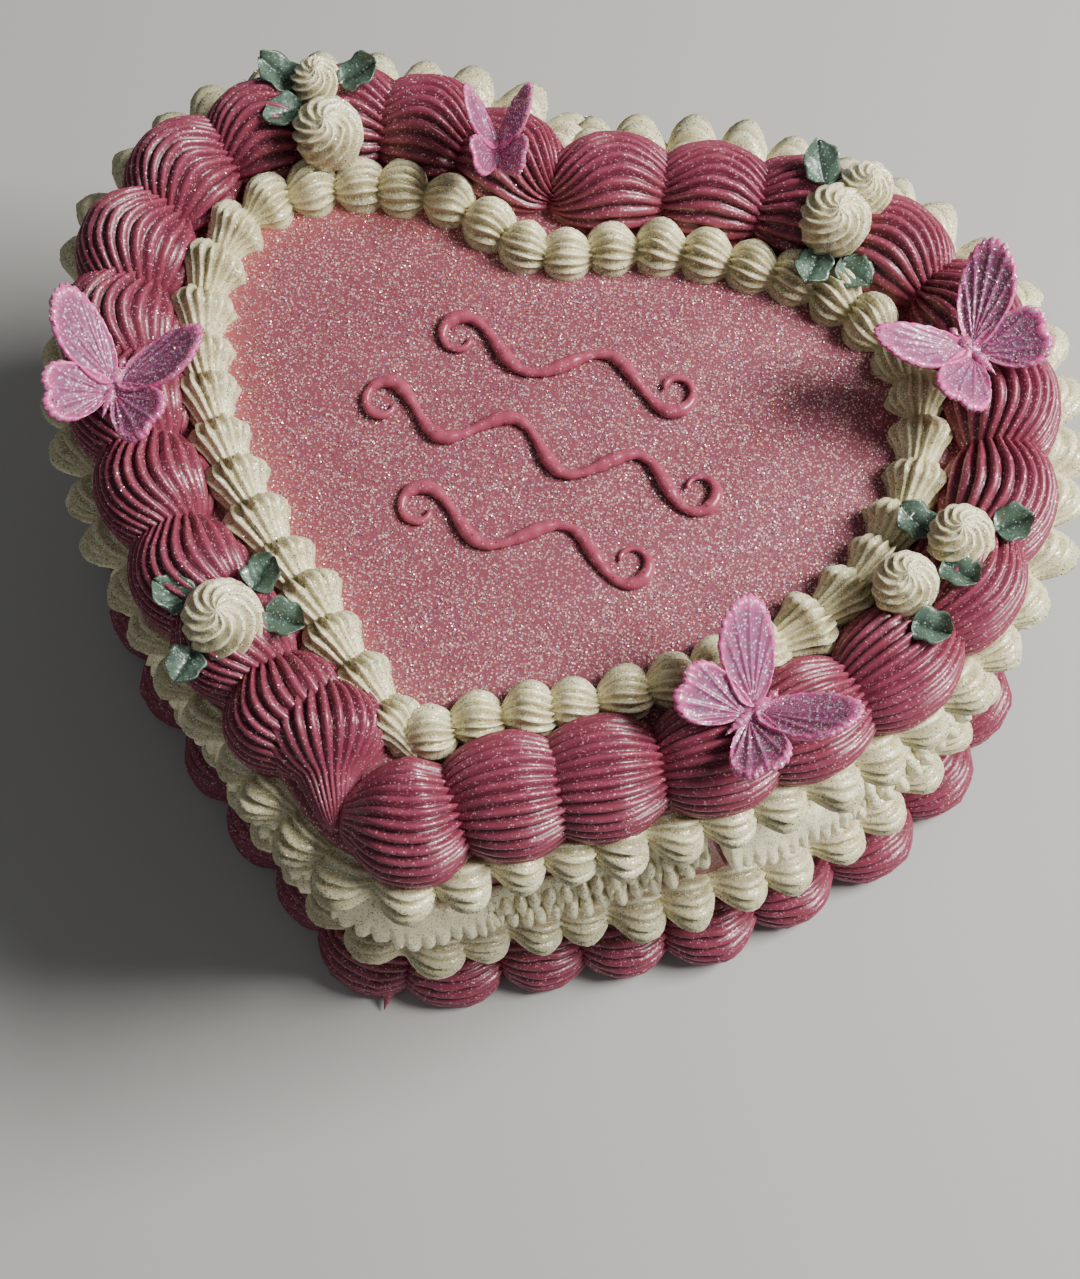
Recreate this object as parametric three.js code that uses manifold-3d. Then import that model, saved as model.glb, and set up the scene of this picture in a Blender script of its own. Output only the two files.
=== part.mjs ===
// A heart-shaped buttercream cake with piped shell borders, ruffled swags,
// rosettes, leaves and moulded butterflies. Millimetres, +Z up, base at z = 0.
// Seen from above, the heart's tip points to -Y and its notch to +Y.
//
// Every border follows the same heart: the centreline of the small shell ring
// on the top. A place on the cake is a length along that heart, from the tip
// towards the notch, and an offset outward from it.

import * as THREE from 'three';
import * as BufferGeometryUtils from 'three/addons/utils/BufferGeometryUtils.js';
import Module from 'manifold-3d';

const wasm = await Module();
wasm.setup();

// ---------------------------------------------------------------- dimensions

const CAKE_HEIGHT = 115;
const WALL = 25.5; // offset of the cake's side from the heart
const GAP = 0.3; // clearance between separate pieces
const FAR = 400; // larger than the cake, for cutting blocks

const IVORY = 0xe4dbb4;
const ROSE = 0xac566f;
const PINK = 0xc27f86;
const SCROLL_ROSE = 0xa94a60;
const LEAF_GREEN = 0x4c7a68;
const WING_PINK = 0xb65f92;

const TIP = new THREE.Vector2(-13.2, -62.2);
const NOTCH = new THREE.Vector2(-8.2, 51.6);
const NOTCH_ANGLE = 0.3;

// Each half of the heart: its widest point, the top of its lobe, and how far
// the outline runs straight on from each of them.
const RIGHT_HALF = {
  out: 1,
  wide: new THREE.Vector2(79.5, 19), wideDown: 57, wideUp: 32,
  lobe: new THREE.Vector2(27, 59), lobeOut: 25.4, lobeIn: 20,
  tipRun: new THREE.Vector2(13.3, 13.1), notchRun: 9.3,
};
const LEFT_HALF = {
  out: -1,
  wide: new THREE.Vector2(-79.4, 28), wideDown: 37.7, wideUp: 25.3,
  lobe: new THREE.Vector2(-39.2, 61), lobeOut: 24.3, lobeIn: 14.8,
  tipRun: new THREE.Vector2(-15.2, 15.6), notchRun: 5.7,
};

// Shell borders. offset and z place the shell's axis; lean tips its crest from
// straight up (0) to straight outward (90 degrees). crest and steps are the
// facets over the crest and along the shell; blunt shapes its ends, where 1 is
// round and less is blunter. The ivory ones are single strips that swell and
// pinch; the rose ones are overlapping shells. atNotch gives the smaller shells
// and the inward shift that the top border tapers to, from taperFrom on.
const ROSE_TOP = {
  name: 'rose_top_border', right: 14, left: 13, offset: 16.8, z: CAKE_HEIGHT, lean: 6,
  half: 12.4, height: 15, depth: 6.2, crest: 8, steps: 4,
  ridge: 0.1, vary: 0.04, tailReach: 0.32, girth: 0.56, blunt: 0.8,
  taperFrom: 0.55, atNotch: { half: 10.4, height: 13, shift: -2 },
};
const IVORY_INNER = {
  name: 'ivory_inner_border', right: 24, left: 20, offset: -0.1, z: CAKE_HEIGHT + GAP, lean: 0,
  half: 5.9, height: 9.4, crest: 4, ridge: 0.12, vary: 0.05,
};
const IVORY_UPPER = {
  name: 'ivory_upper_border', right: 29, left: 26, offset: WALL + GAP + 0.1, z: 106, lean: 90,
  half: 6.4, height: 13, crest: 4, ridge: 0.12, vary: 0.06,
};
const IVORY_LOWER = {
  name: 'ivory_lower_border', right: 26, left: 24, offset: WALL + GAP + 0.1, z: 27.6, lean: 90,
  half: 6.6, height: 13, crest: 3, ridge: 0.08, vary: 0.06,
};
const ROSE_BASE = {
  name: 'rose_base_border', right: 15, left: 14, offset: WALL, z: 6, lean: 66,
  half: 15.5, height: 17.6, depth: 1.5, crest: 5, steps: 3,
  ridge: 0.07, vary: 0.04, tailReach: 0.25, girth: 0.42, blunt: 0.7,
};
const TOP_SPLIT = 112.9; // the top border ends above this level, the upper ring below it
const BASE_SPLIT = 20.6; // the base border ends below this level, the lower ring above it
const BASE_SPIKE = { at: new THREE.Vector3(-16.8, -96.8, 3.2), length: 9.6, radius: 3.8 };
// The top border's last shell is laid across its corner at the heart's tip.
const TIP_FAN = { tail: new THREE.Vector2(-21, -88.5), head: new THREE.Vector2(-34.5, -54.5) };

// Swags: ruffled garlands hung round the side, each with a narrow echo below.
const SWAGS_EACH_SIDE = 4;
const SWAG_START = -11; // mm round the side from the tip
const SWAG_TOP = 97.6;
const SWAG_SAG = 24;
const SWAG_HANG = 0.8; // 1 hangs as a sine wave, less is flatter at the bottom
const SWAG_DROP = 15;
const SWAG_FLARE = 8.5;
const SWAG_PLEAT = 1.7;
const SWAG_STEPS = 15;
const HEM_LEVEL = 0.82; // where its hem stands out furthest, down its drop
const SWAG_SPACE = 1.2; // between one swag and the next
const NOTCH_SPACE = 9; // bare on each side of the notch's crease
const ECHO_DROP = 5;
const ECHO_FLARE = 7;
const ECHO_PLEAT = 1;

// Toppings on the top border: x, y and what else places them.
const ROSETTE_BASE = 126.6;
const ROSETTE_HEIGHT = 8.4; // of one with the usual radius
const ROSETTE_RADIUS = 7.5;
const ROSETTE_GROOVE = 0.12;
const ROSETTE_TWIST = 0.45; // radians from one ring of its surface to the next
const ROSETTE_SIDES = 8;
// Reach and rise of each ring, from the peak down, as shares of radius and height.
const ROSETTE_PROFILE = [[0, 1], [0.52, 0.86], [0.93, 0.5], [1, 0.16], [0.78, -0.3], [0, -0.3]];
const ROSETTES = [
  { x: -65.1, y: 76.7, radius: 5.8 },
  { x: -59.5, y: 64.5, radius: 8 },
  { x: 51.8, y: 66.2, radius: 7.9 },
  { x: 57.2, y: 75, radius: 6.4 },
  { x: 89.1, y: 0.4, radius: 7.1 },
  { x: 79.8, y: -12.5, radius: 7 },
  { x: -54.3, y: -47.6, radius: 8.6 },
];
// Leaves: root and tip seen from above, and how high the tip rises.
const LEAF_THICKNESS = 0.9;
const LEAVES = [
  { root: [-69.3, 75.6], tip: [-78.5, 79.5], rise: 3 },
  { root: [-66.6, 70.6], tip: [-73.6, 64.4], rise: 2 },
  { root: [-59.8, 76.9], tip: [-52.4, 81.5], rise: 4 },
  { root: [48.6, 73.7], tip: [45, 82], rise: 4 },
  { root: [50.2, 60.6], tip: [48.4, 52.4], rise: 1 },
  { root: [55.2, 60.2], tip: [61.8, 54.8], rise: 1 },
  { root: [83.4, 1], tip: [76, 5.6], rise: 1 },
  { root: [95.8, 3.6], tip: [102.6, 7.4], rise: 3 },
  { root: [86.4, -5.6], tip: [93.4, -10], rise: 2 },
  { root: [82.2, -19.6], tip: [90, -21.6], rise: 2 },
  { root: [-61.4, -45.6], tip: [-70, -42.8], rise: 2 },
  { root: [-58.4, -54.8], tip: [-60.6, -62.4], rise: 1 },
  { root: [-50.6, -39.8], tip: [-47.6, -32.4], rise: 2 },
  { root: [-46.4, -44], tip: [-37.8, -45.6], rise: 1 },
];
const LEAF_HALF_WIDTH = 3.5;
const LEAF_STEPS = 3;
const LEAF_FOLD = 1.1; // how far its edges rise above its vein
const LEAF_WAVE = 0.25;
const LEAF_REST = 0.7; // clear of the highest point under it

// Butterflies: middle of the body, heading of the head in degrees from +X, how
// far each wing is raised from flat, in degrees, and a scale for the small one.
const BUTTERFLIES = [
  { x: -88.4, y: -4.6, z: 131.2, heading: 86, raise: [24, 38], scale: 1 },
  { x: -22.2, y: 66.4, z: 130.4, heading: 104, raise: [48, 54], scale: 0.7 },
  { x: 85.2, y: 40.2, z: 131.2, heading: 142, raise: [26, 22], scale: 1 },
  { x: 53.6, y: -46.4, z: 131.2, heading: 52, raise: [30, 20], scale: 1 },
];
const INSECT_LENGTH = 14;
const INSECT_GIRTH = 1.6;
const WING_THICKNESS = 1.2;
const WING_OUTLINE = [
  [0.2, 3.8], [7, 11.6], [17.6, 14.2], [18.4, 7.8], [12.5, 1.4],
  [14.8, -4.7], [9.8, -10.3], [0.2, -2.2],
];

// Piped scrolls on the top: middle of each, its length, its slant in degrees,
// which way it starts, and its half waves (odd, so that its ends mirror).
const SCROLL_RADIUS = 1.3;
const SCROLL_Z = CAKE_HEIGHT + GAP + 0.7;
const SCROLL_SECTION = [[-1, -0.5], [-0.55, 0.95], [0.55, 0.95], [1, -0.5]];
const SCROLL_WAVE = 4.4; // height of a wave's crest
const SCROLL_WAVE_SHARE = 0.66; // of the scroll, before it curls
const SCROLL_CURL = 5; // radius where a curl starts
const SCROLL_TIGHTENING = 0.6;
const SCROLL_TURN = 1.6 * Math.PI;
const SCROLL_CURL_STEPS = 16;
const SCROLLS = [
  { x: 1.4, y: 27.5, length: 58, slant: -5, flip: 1, bends: 3 },
  { x: -0.4, y: 7.5, length: 80, slant: -6, flip: -1, bends: 5 },
  { x: 0.6, y: -13, length: 56, slant: -5, flip: 1, bends: 3 },
];

// ------------------------------------------------------------------- helpers

// A repeatable number between -1 and 1 for each index and purpose.
function wobble(index, purpose) {
  const wave = Math.sin(index * 12.9898 + purpose * 78.233) * 43758.5453;
  return 2 * (wave - Math.floor(wave)) - 1;
}

// A polyline measured by length, with normals that turn smoothly from point to
// point. Past its ends it runs straight on.
class Line {
  constructor(points, out) {
    this.points = points;
    this.out = out;
    this.lengths = [0];
    for (let i = 1; i < points.length; i++) {
      this.lengths.push(this.lengths[i - 1] + points[i].distanceTo(points[i - 1]));
    }
    this.length = this.lengths[points.length - 1];
    this.tangents = points.map((point, i) => {
      const before = points[Math.max(i - 1, 0)];
      const after = points[Math.min(i + 1, points.length - 1)];
      return after.clone().sub(before).normalize();
    });
  }

  // The point, and the outward normal, at a length along the line.
  at(length) {
    let i = 1;
    while (i < this.points.length - 1 && this.lengths[i] < length) i++;
    const start = this.points[i - 1];
    const step = this.lengths[i] - this.lengths[i - 1];
    const share = (length - this.lengths[i - 1]) / step;
    const point = start.clone().lerp(this.points[i], share);
    const tangent = this.tangents[i - 1].clone()
      .lerp(this.tangents[i], THREE.MathUtils.clamp(share, 0, 1)).normalize();
    const normal = new THREE.Vector2(tangent.y, -tangent.x).multiplyScalar(this.out);
    return { point, normal };
  }
}

// A closed geometry as a solid that can be joined and cut.
function toSolid(geometry) {
  const bare = geometry.clone();
  bare.deleteAttribute('normal');
  bare.deleteAttribute('uv');
  const merged = BufferGeometryUtils.mergeVertices(bare, 1e-4);
  const position = merged.attributes.position;
  const corners = [];
  let volume = 0;
  const [a, b, c] = [new THREE.Vector3(), new THREE.Vector3(), new THREE.Vector3()];
  for (let i = 0; i < merged.index.count; i += 3) {
    const face = [0, 1, 2].map((k) => merged.index.getX(i + k));
    if (new Set(face).size < 3) continue;
    [a, b, c].forEach((corner, k) => corner.fromBufferAttribute(position, face[k]));
    volume += a.dot(b.cross(c));
    corners.push(face);
  }
  if (volume < 0) corners.forEach((face) => face.reverse());
  return new wasm.Manifold(new wasm.Mesh({
    numProp: 3,
    vertProperties: new Float32Array(position.array),
    triVerts: new Uint32Array(corners.flat()),
  }));
}

const join = (solids) => solids.reduce((whole, piece) => whole.add(piece));

// The largest piece of a solid; scraps that a cut leaves loose are dropped.
function largest(solid) {
  const pieces = solid.decompose();
  return pieces.reduce((best, piece) => (piece.volume() > best.volume() ? piece : best));
}

const cake = new THREE.Group();

function addNode(name, solid, colour, roughness = 0.6, metalness = 0) {
  const { numProp, vertProperties, triVerts } = largest(solid).getMesh();
  const corners = [];
  for (let i = 0; i < vertProperties.length; i += numProp) {
    corners.push(vertProperties[i], vertProperties[i + 1], vertProperties[i + 2]);
  }
  const geometry = new THREE.BufferGeometry();
  geometry.setAttribute('position', new THREE.Float32BufferAttribute(corners, 3));
  geometry.setIndex([...triVerts]);
  geometry.computeVertexNormals();
  const material = new THREE.MeshStandardMaterial({ color: colour, roughness, metalness });
  const mesh = new THREE.Mesh(geometry, material);
  mesh.name = name;
  cake.add(mesh);
}

// A closed skin of rings of points, from one pole to the other. place(t, k)
// gives the point at t along the skin (0 to 1) on its k-th side.
function loft(sides, steps, place) {
  const geometry = new THREE.SphereGeometry(1, sides, steps);
  const position = geometry.attributes.position;
  for (let row = 0; row <= steps; row++) {
    for (let column = 0; column <= sides; column++) {
      const point = place(row / steps, column % sides);
      position.setXYZ(row * (sides + 1) + column, point.x, point.y, point.z);
    }
  }
  return geometry;
}

// A block from x0, y0, z0 to x1, y1, z1.
function block(low, high) {
  const size = high.clone().sub(low);
  const geometry = new THREE.BoxGeometry(size.x, size.y, size.z);
  const middle = low.clone().add(high).multiplyScalar(0.5);
  return toSolid(geometry.translate(middle.x, middle.y, middle.z));
}

const above = (z) => block(new THREE.Vector3(-FAR, -FAR, z), new THREE.Vector3(FAR, FAR, FAR));
const below = (z) => block(new THREE.Vector3(-FAR, -FAR, -FAR), new THREE.Vector3(FAR, FAR, z));

// --------------------------------------------------------------------- heart

const HEART_SAMPLES = 240;

// One half of the heart, from the tip to the notch.
function halfHeart(half) {
  const { out, wide, lobe } = half;
  const notchTangent = new THREE.Vector2(Math.cos(NOTCH_ANGLE), Math.sin(NOTCH_ANGLE));
  const path = new THREE.CurvePath();
  path.add(new THREE.CubicBezierCurve(
    TIP, TIP.clone().add(half.tipRun),
    new THREE.Vector2(wide.x, wide.y - half.wideDown), wide));
  path.add(new THREE.CubicBezierCurve(
    wide, new THREE.Vector2(wide.x, wide.y + half.wideUp),
    new THREE.Vector2(lobe.x + out * half.lobeOut, lobe.y), lobe));
  path.add(new THREE.CubicBezierCurve(
    lobe, new THREE.Vector2(lobe.x - out * half.lobeIn, lobe.y),
    NOTCH.clone().addScaledVector(notchTangent, out * half.notchRun), NOTCH));
  return new Line(path.getSpacedPoints(HEART_SAMPLES), out);
}

const HALVES = [halfHeart(RIGHT_HALF), halfHeart(LEFT_HALF)];
const heartPoints = HALVES.flatMap((half) => half.points);
const tipDirection = HALVES[0].at(0).normal.clone().add(HALVES[1].at(0).normal).normalize();

// One half of the heart moved outward. Round the tip it is an arc; where the
// two halves would cross at the notch it stops.
const TIP_STEPS = 10;
function offsetHalf(half, offset) {
  const clear = (point) => heartPoints.every((other) => (
    point.distanceTo(other) > Math.abs(offset) - 0.1));
  const points = [];
  if (offset > 0) {
    const first = half.at(0).normal;
    for (let i = 0; i < TIP_STEPS; i++) {
      const direction = tipDirection.clone().lerp(first, i / TIP_STEPS).normalize();
      points.push(TIP.clone().addScaledVector(direction, offset));
    }
  }
  for (let i = 0; i <= HEART_SAMPLES; i++) {
    const { point, normal } = half.at(half.length * i / HEART_SAMPLES);
    const moved = point.addScaledVector(normal, offset);
    if (clear(moved)) points.push(moved);
  }
  return new Line(points, half.out);
}

// The whole heart moved outward, closed, counter-clockwise from the tip.
function offsetLoop(offset) {
  const [right, left] = HALVES.map((half) => offsetHalf(half, offset));
  return new Line([...right.points, ...left.points.slice().reverse()], 1);
}

// --------------------------------------------------------------------- piping

const HEAD_REACH = 1.05; // a shell's head, in shell spacings from its place
const EDGE = 0.98; // half width of a shell's lower edges
const BELLY = 0.5; // its underside sags this far below its edges
const SWELL = 1.2; // brings a shell's widest place to its full half width

// One piped shell: a ridged teardrop along the line, tail first, that swells
// to a blunt head.
function shell(line, tail, head, form, index) {
  const lean = THREE.MathUtils.degToRad(form.lean);
  const size = 1 + form.vary * wobble(index, form.z);
  const shift = form.shift ?? 0;
  const sides = form.crest + 2;
  return toSolid(loft(sides, form.steps, (step, side) => {
    const along = (1 - Math.cos(Math.PI * step)) / 2;
    const closed = step === 0 || step === 1 ? 0 : Math.sin(Math.PI * step) ** form.blunt;
    const swell = SWELL * closed * (form.girth + (1 - form.girth) * along) * size;
    const groove = side % 2 === 0 ? 1 - form.ridge : 1;
    const angle = Math.PI * side / form.crest;
    let across = Math.cos(angle) * groove;
    let lift = Math.sin(angle) * groove * form.height;
    if (side === 0 || side === form.crest) {
      across = Math.sign(across) * EDGE;
      lift = -form.depth;
    } else if (side > form.crest) {
      across = 0;
      lift = -form.depth - BELLY;
    }
    across *= form.half * swell;
    lift *= swell;
    const { point, normal } = line.at(tail + (head - tail) * along);
    point.addScaledVector(normal, shift + across * Math.cos(lean) + lift * Math.sin(lean));
    return new THREE.Vector3(
      point.x, point.y, form.z + lift * Math.cos(lean) - across * Math.sin(lean));
  }));
}

// A strip of beads in one run along the line: each bead rises slowly from a
// thin tail to a full head. Its back is flat.
const BEAD_ROWS = [[0, 0.5], [0.5, 0.86], [0.9, 1]]; // place in the bead, girth
const BEAD_END = 0.25; // how far a strip's ends stand out, in beads
function beadStrip(line, count, form, side) {
  const spacing = line.length / count;
  const lean = THREE.MathUtils.degToRad(form.lean);
  const rows = count * BEAD_ROWS.length;
  return toSolid(loft(form.crest + 1, rows + 1, (share, k) => {
    const row = Math.round(share * (rows + 1));
    const inner = THREE.MathUtils.clamp(row - 1, 0, rows - 1);
    const bead = Math.floor(inner / BEAD_ROWS.length);
    const [place, girth] = BEAD_ROWS[inner % BEAD_ROWS.length];
    const open = row === 0 || row > rows ? 0 : 1;
    const size = girth * open * (1 + form.vary * wobble(bead + 40 * side, form.z));
    const groove = k % 2 === 1 ? 1 : 1 - form.ridge;
    const angle = Math.PI * k / form.crest;
    const across = Math.cos(angle) * form.half * size * groove;
    const lift = Math.sin(angle) * form.height * size * groove;
    const end = row > rows ? BEAD_END : (open - 1) * BEAD_END;
    const { point, normal } = line.at((bead + place + end) * spacing);
    point.addScaledVector(normal, across * Math.cos(lean) + lift * Math.sin(lean));
    return new THREE.Vector3(
      point.x, point.y, form.z + lift * Math.cos(lean) - across * Math.sin(lean));
  }));
}

function beadBorder(form) {
  return join(HALVES.map((half, side) => {
    const line = offsetHalf(half, form.offset);
    return beadStrip(line, side === 0 ? form.right : form.left, form, side);
  }));
}

// The form of the shell at a share of the way to the notch.
function tapered(form, share) {
  if (!form.atNotch) return form;
  const taper = THREE.MathUtils.smoothstep(share, form.taperFrom, 1);
  return {
    ...form,
    half: THREE.MathUtils.lerp(form.half, form.atNotch.half, taper),
    height: THREE.MathUtils.lerp(form.height, form.atNotch.height, taper),
    shift: form.atNotch.shift * taper,
  };
}

// A whole border of shells, each with its head over the tail of the next one
// towards the notch.
function border(form) {
  const shells = [];
  HALVES.forEach((half, side) => {
    const line = offsetHalf(half, form.offset);
    const count = side === 0 ? form.right : form.left;
    const spacing = line.length / count;
    for (let i = 0; i < count; i++) {
      const tail = (i - form.tailReach) * spacing;
      const head = (i + HEAD_REACH) * spacing;
      if (form.name === ROSE_TOP.name && side === 1 && i === 0) {
        const across = new Line([TIP_FAN.tail, TIP_FAN.head], half.out);
        shells.push(shell(across, 0, across.length, form, 0));
      } else {
        shells.push(shell(line, tail, head, tapered(form, (i + 0.5) / count), i + 40 * side));
      }
    }
  });
  return join(shells);
}

// ----------------------------------------------------------------------- cake

const OUTLINE_STEP = 12;

function cakeBlock(offset, bottom, top) {
  const loop = offsetLoop(offset);
  const count = Math.round(loop.length / OUTLINE_STEP);
  const points = [];
  for (let i = 0; i < count; i++) points.push(loop.at(loop.length * i / count).point);
  const geometry = new THREE.ExtrudeGeometry(
    new THREE.Shape(points), { depth: top - bottom, bevelEnabled: false });
  return toSolid(geometry.translate(0, 0, bottom));
}

const bodyRoom = cakeBlock(WALL + GAP, -FAR, CAKE_HEIGHT + GAP);
addNode('cake_body', cakeBlock(WALL, 0, CAKE_HEIGHT), PINK, 0.5);

// The inner border with the clearance that its neighbours keep.
const innerRoom = beadBorder({
  ...IVORY_INNER, half: IVORY_INNER.half + GAP, height: IVORY_INNER.height + GAP,
});
// The second cut clears a sliver that the first one leaves beside the tip.
const roseTop = border(ROSE_TOP).subtract(bodyRoom).subtract(below(TOP_SPLIT + GAP))
  .subtract(innerRoom).subtract(innerRoom);
addNode(ROSE_TOP.name, roseTop, ROSE, 0.4);
addNode(IVORY_INNER.name, beadBorder(IVORY_INNER), IVORY);
addNode(IVORY_UPPER.name, beadBorder(IVORY_UPPER).subtract(bodyRoom), IVORY);
addNode(IVORY_LOWER.name, beadBorder(IVORY_LOWER).subtract(bodyRoom), IVORY);

// The base border ends in a small point pulled outward at the heart's tip.
function baseSpike() {
  const { at, length, radius } = BASE_SPIKE;
  const cone = new THREE.ConeGeometry(radius, length, 6, 1);
  return toSolid(cone.rotateZ(Math.PI).translate(at.x, at.y, at.z));
}

const roseBase = border(ROSE_BASE).add(baseSpike())
  .subtract(bodyRoom).subtract(below(0)).subtract(above(BASE_SPLIT));
addNode(ROSE_BASE.name, roseBase, ROSE, 0.45);

// ---------------------------------------------------------------------- swags

const sideLoop = offsetLoop(WALL);
const notchPlace = offsetHalf(HALVES[0], WALL).length;

// The level of a swag's top edge, at t from one end (0) to the other (1).
const swagLevel = (t) => SWAG_TOP - SWAG_SAG * Math.sin(Math.PI * t) ** SWAG_HANG;

// A ruffle with a triangular section: its back on the cake, its hem flaring
// out in pleats that tighten towards its far end.
function ruffle(start, end, section) {
  const steps = SWAG_STEPS;
  return toSolid(loft(3, steps, (share, side) => {
    const row = Math.round(share * steps);
    const t = THREE.MathUtils.clamp((row - 1) / (steps - 2), 0, 1);
    const open = row === 0 || row === steps ? 0 : 1;
    const { drop, flare, level } = section(t, row);
    const across = GAP + 0.1 + (side === 2 ? flare * open : 0);
    const fall = [0, drop, drop * HEM_LEVEL][side] * open + (1 - open) * drop / 2;
    const { point, normal } = sideLoop.at(
      (start + (end - start) * t + sideLoop.length) % sideLoop.length);
    point.addScaledVector(normal, across);
    return new THREE.Vector3(point.x, point.y, level - fall);
  }));
}

for (let i = 0; i < 2 * SWAGS_EACH_SIDE; i++) {
  const onRight = i < SWAGS_EACH_SIDE;
  const from = onRight ? SWAG_START : notchPlace + NOTCH_SPACE;
  const to = onRight ? notchPlace - NOTCH_SPACE : sideLoop.length + SWAG_START;
  const pitch = (to - from) / SWAGS_EACH_SIDE;
  const start = from + (i % SWAGS_EACH_SIDE) * pitch + SWAG_SPACE / 2;
  const end = start + pitch - SWAG_SPACE;
  const swag = ruffle(start, end, (t, row) => ({
    level: swagLevel(t),
    drop: SWAG_DROP,
    flare: SWAG_FLARE + (row % 2 ? SWAG_PLEAT : -SWAG_PLEAT) * Math.min(1, 0.3 + 1.4 * t),
  }));
  addNode(`swag_${i + 1}`, swag.subtract(bodyRoom), IVORY);
  const echo = ruffle(start, end, (t, row) => ({
    level: swagLevel(t) - SWAG_DROP - 2 * GAP,
    drop: ECHO_DROP,
    flare: ECHO_FLARE + (row % 2 ? ECHO_PLEAT : -ECHO_PLEAT),
  }));
  addNode(`swag_echo_${i + 1}`, echo.subtract(bodyRoom), ROSE);
}

// ------------------------------------------------------------------- toppings

// The top border with the clearance that what lies on it keeps.
const roseRoom = border({
  ...ROSE_TOP, half: ROSE_TOP.half + GAP, height: ROSE_TOP.height + GAP,
});
const borderRoom = roseRoom.add(innerRoom);

// A rosette: a low dome of spiral ridges with a small peak.
function rosette({ x, y, radius }, grow = 0) {
  const steps = ROSETTE_PROFILE.length - 1;
  return toSolid(loft(ROSETTE_SIDES, steps, (t, side) => {
    const row = Math.round(t * steps);
    const [reach, rise] = ROSETTE_PROFILE[row];
    const groove = side % 2 ? 1 : 1 - ROSETTE_GROOVE;
    const angle = 2 * Math.PI * side / ROSETTE_SIDES + ROSETTE_TWIST * row;
    const r = reach === 0 ? 0 : radius * reach * groove + grow;
    return new THREE.Vector3(
      x + r * Math.cos(angle), y + r * Math.sin(angle),
      ROSETTE_BASE + ROSETTE_HEIGHT * rise * radius / ROSETTE_RADIUS + (row === 0 ? grow : 0));
  }));
}

// A rosette that overlaps the one before it is cut back to make room.
ROSETTES.forEach((place, i) => {
  let solid = rosette(place).subtract(borderRoom);
  if (i > 0) solid = solid.subtract(rosette(ROSETTES[i - 1], GAP));
  addNode(`rosette_${i + 1}`, solid, IVORY);
});
const rosetteRoom = join(ROSETTES.map((place) => rosette(place, 2 * GAP)));

// A thin sheet between two faces that are split into triangles alike.
// place(u, v) gives a point of the upper face, u along and v across it.
function sheet(along, across, thickness, place) {
  const faces = [0, -thickness].map((drop) => {
    const face = new THREE.PlaneGeometry(1, 1, along, across);
    const position = face.attributes.position;
    for (let i = 0; i < position.count; i++) {
      const point = place(position.getX(i) + 0.5, 2 * position.getY(i));
      position.setXYZ(i, point.x, point.y, point.z + drop);
    }
    return face;
  });
  const count = (along + 1) * (across + 1);
  const index = [];
  const upper = faces[0].index.array;
  for (let i = 0; i < upper.length; i += 3) {
    index.push(upper[i], upper[i + 1], upper[i + 2]);
    index.push(count + upper[i], count + upper[i + 2], count + upper[i + 1]);
  }
  const rim = [];
  for (let i = 0; i < along; i++) rim.push(i);
  for (let i = 0; i < across; i++) rim.push(along + i * (along + 1));
  for (let i = 0; i < along; i++) rim.push(count - 1 - i);
  for (let i = across; i > 0; i--) rim.push(i * (along + 1));
  rim.forEach((a, i) => {
    const b = rim[(i + 1) % rim.length];
    index.push(a, b, count + a, b, count + b, count + a);
  });
  const geometry = new THREE.BufferGeometry();
  const corners = faces.flatMap((face) => [...face.attributes.position.array]);
  geometry.setAttribute('position', new THREE.Float32BufferAttribute(corners, 3));
  geometry.setIndex(index);
  return geometry;
}

// The height of the borders under a point, from the shells' own faces.
function surfaceMesh(solid) {
  const { vertProperties, triVerts } = solid.getMesh();
  const geometry = new THREE.BufferGeometry();
  geometry.setAttribute('position', new THREE.Float32BufferAttribute([...vertProperties], 3));
  geometry.setIndex([...triVerts]);
  return new THREE.Mesh(geometry, new THREE.MeshBasicMaterial({ side: THREE.DoubleSide }));
}
const borderSurface = surfaceMesh(borderRoom);
const raycaster = new THREE.Raycaster();
function heightAt(x, y) {
  raycaster.set(new THREE.Vector3(x, y, FAR), new THREE.Vector3(0, 0, -1));
  const hits = raycaster.intersectObject(borderSurface);
  return hits.length ? Math.max(hits[0].point.z, CAKE_HEIGHT) : CAKE_HEIGHT;
}

// A leaf: folded along its vein, draped over what lies under it, with its tip
// lifted.
function leaf({ root, tip, rise }, index) {
  const start = new THREE.Vector2(...root);
  const length = new THREE.Vector2(...tip).sub(start);
  const side = new THREE.Vector2(-length.y, length.x).normalize();
  const spots = (u, v) => {
    const width = LEAF_HALF_WIDTH * (0.16 + 0.84 * Math.sin(Math.PI * u ** 0.8));
    return start.clone().addScaledVector(length, u).addScaledVector(side, v * width);
  };
  let ground = 0;
  for (let u = 0; u <= 1; u += 0.125) {
    for (let v = -1; v <= 1; v += 0.25) {
      const spot = spots(u, v);
      ground = Math.max(ground, heightAt(spot.x, spot.y) - rise * u - LEAF_FOLD * Math.abs(v));
    }
  }
  return toSolid(sheet(LEAF_STEPS, 2, LEAF_THICKNESS, (u, v) => {
    const spot = spots(u, v);
    const fold = LEAF_FOLD * Math.abs(v);
    const wave = LEAF_WAVE * wobble(index * 7 + Math.round(LEAF_STEPS * u), 5);
    return new THREE.Vector3(
      spot.x, spot.y, ground + LEAF_THICKNESS + LEAF_REST + rise * u + fold + wave);
  }));
}

LEAVES.forEach((place, i) => {
  addNode(`leaf_${i + 1}`, leaf(place, i).subtract(rosetteRoom), LEAF_GREEN, 0.45);
});

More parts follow.
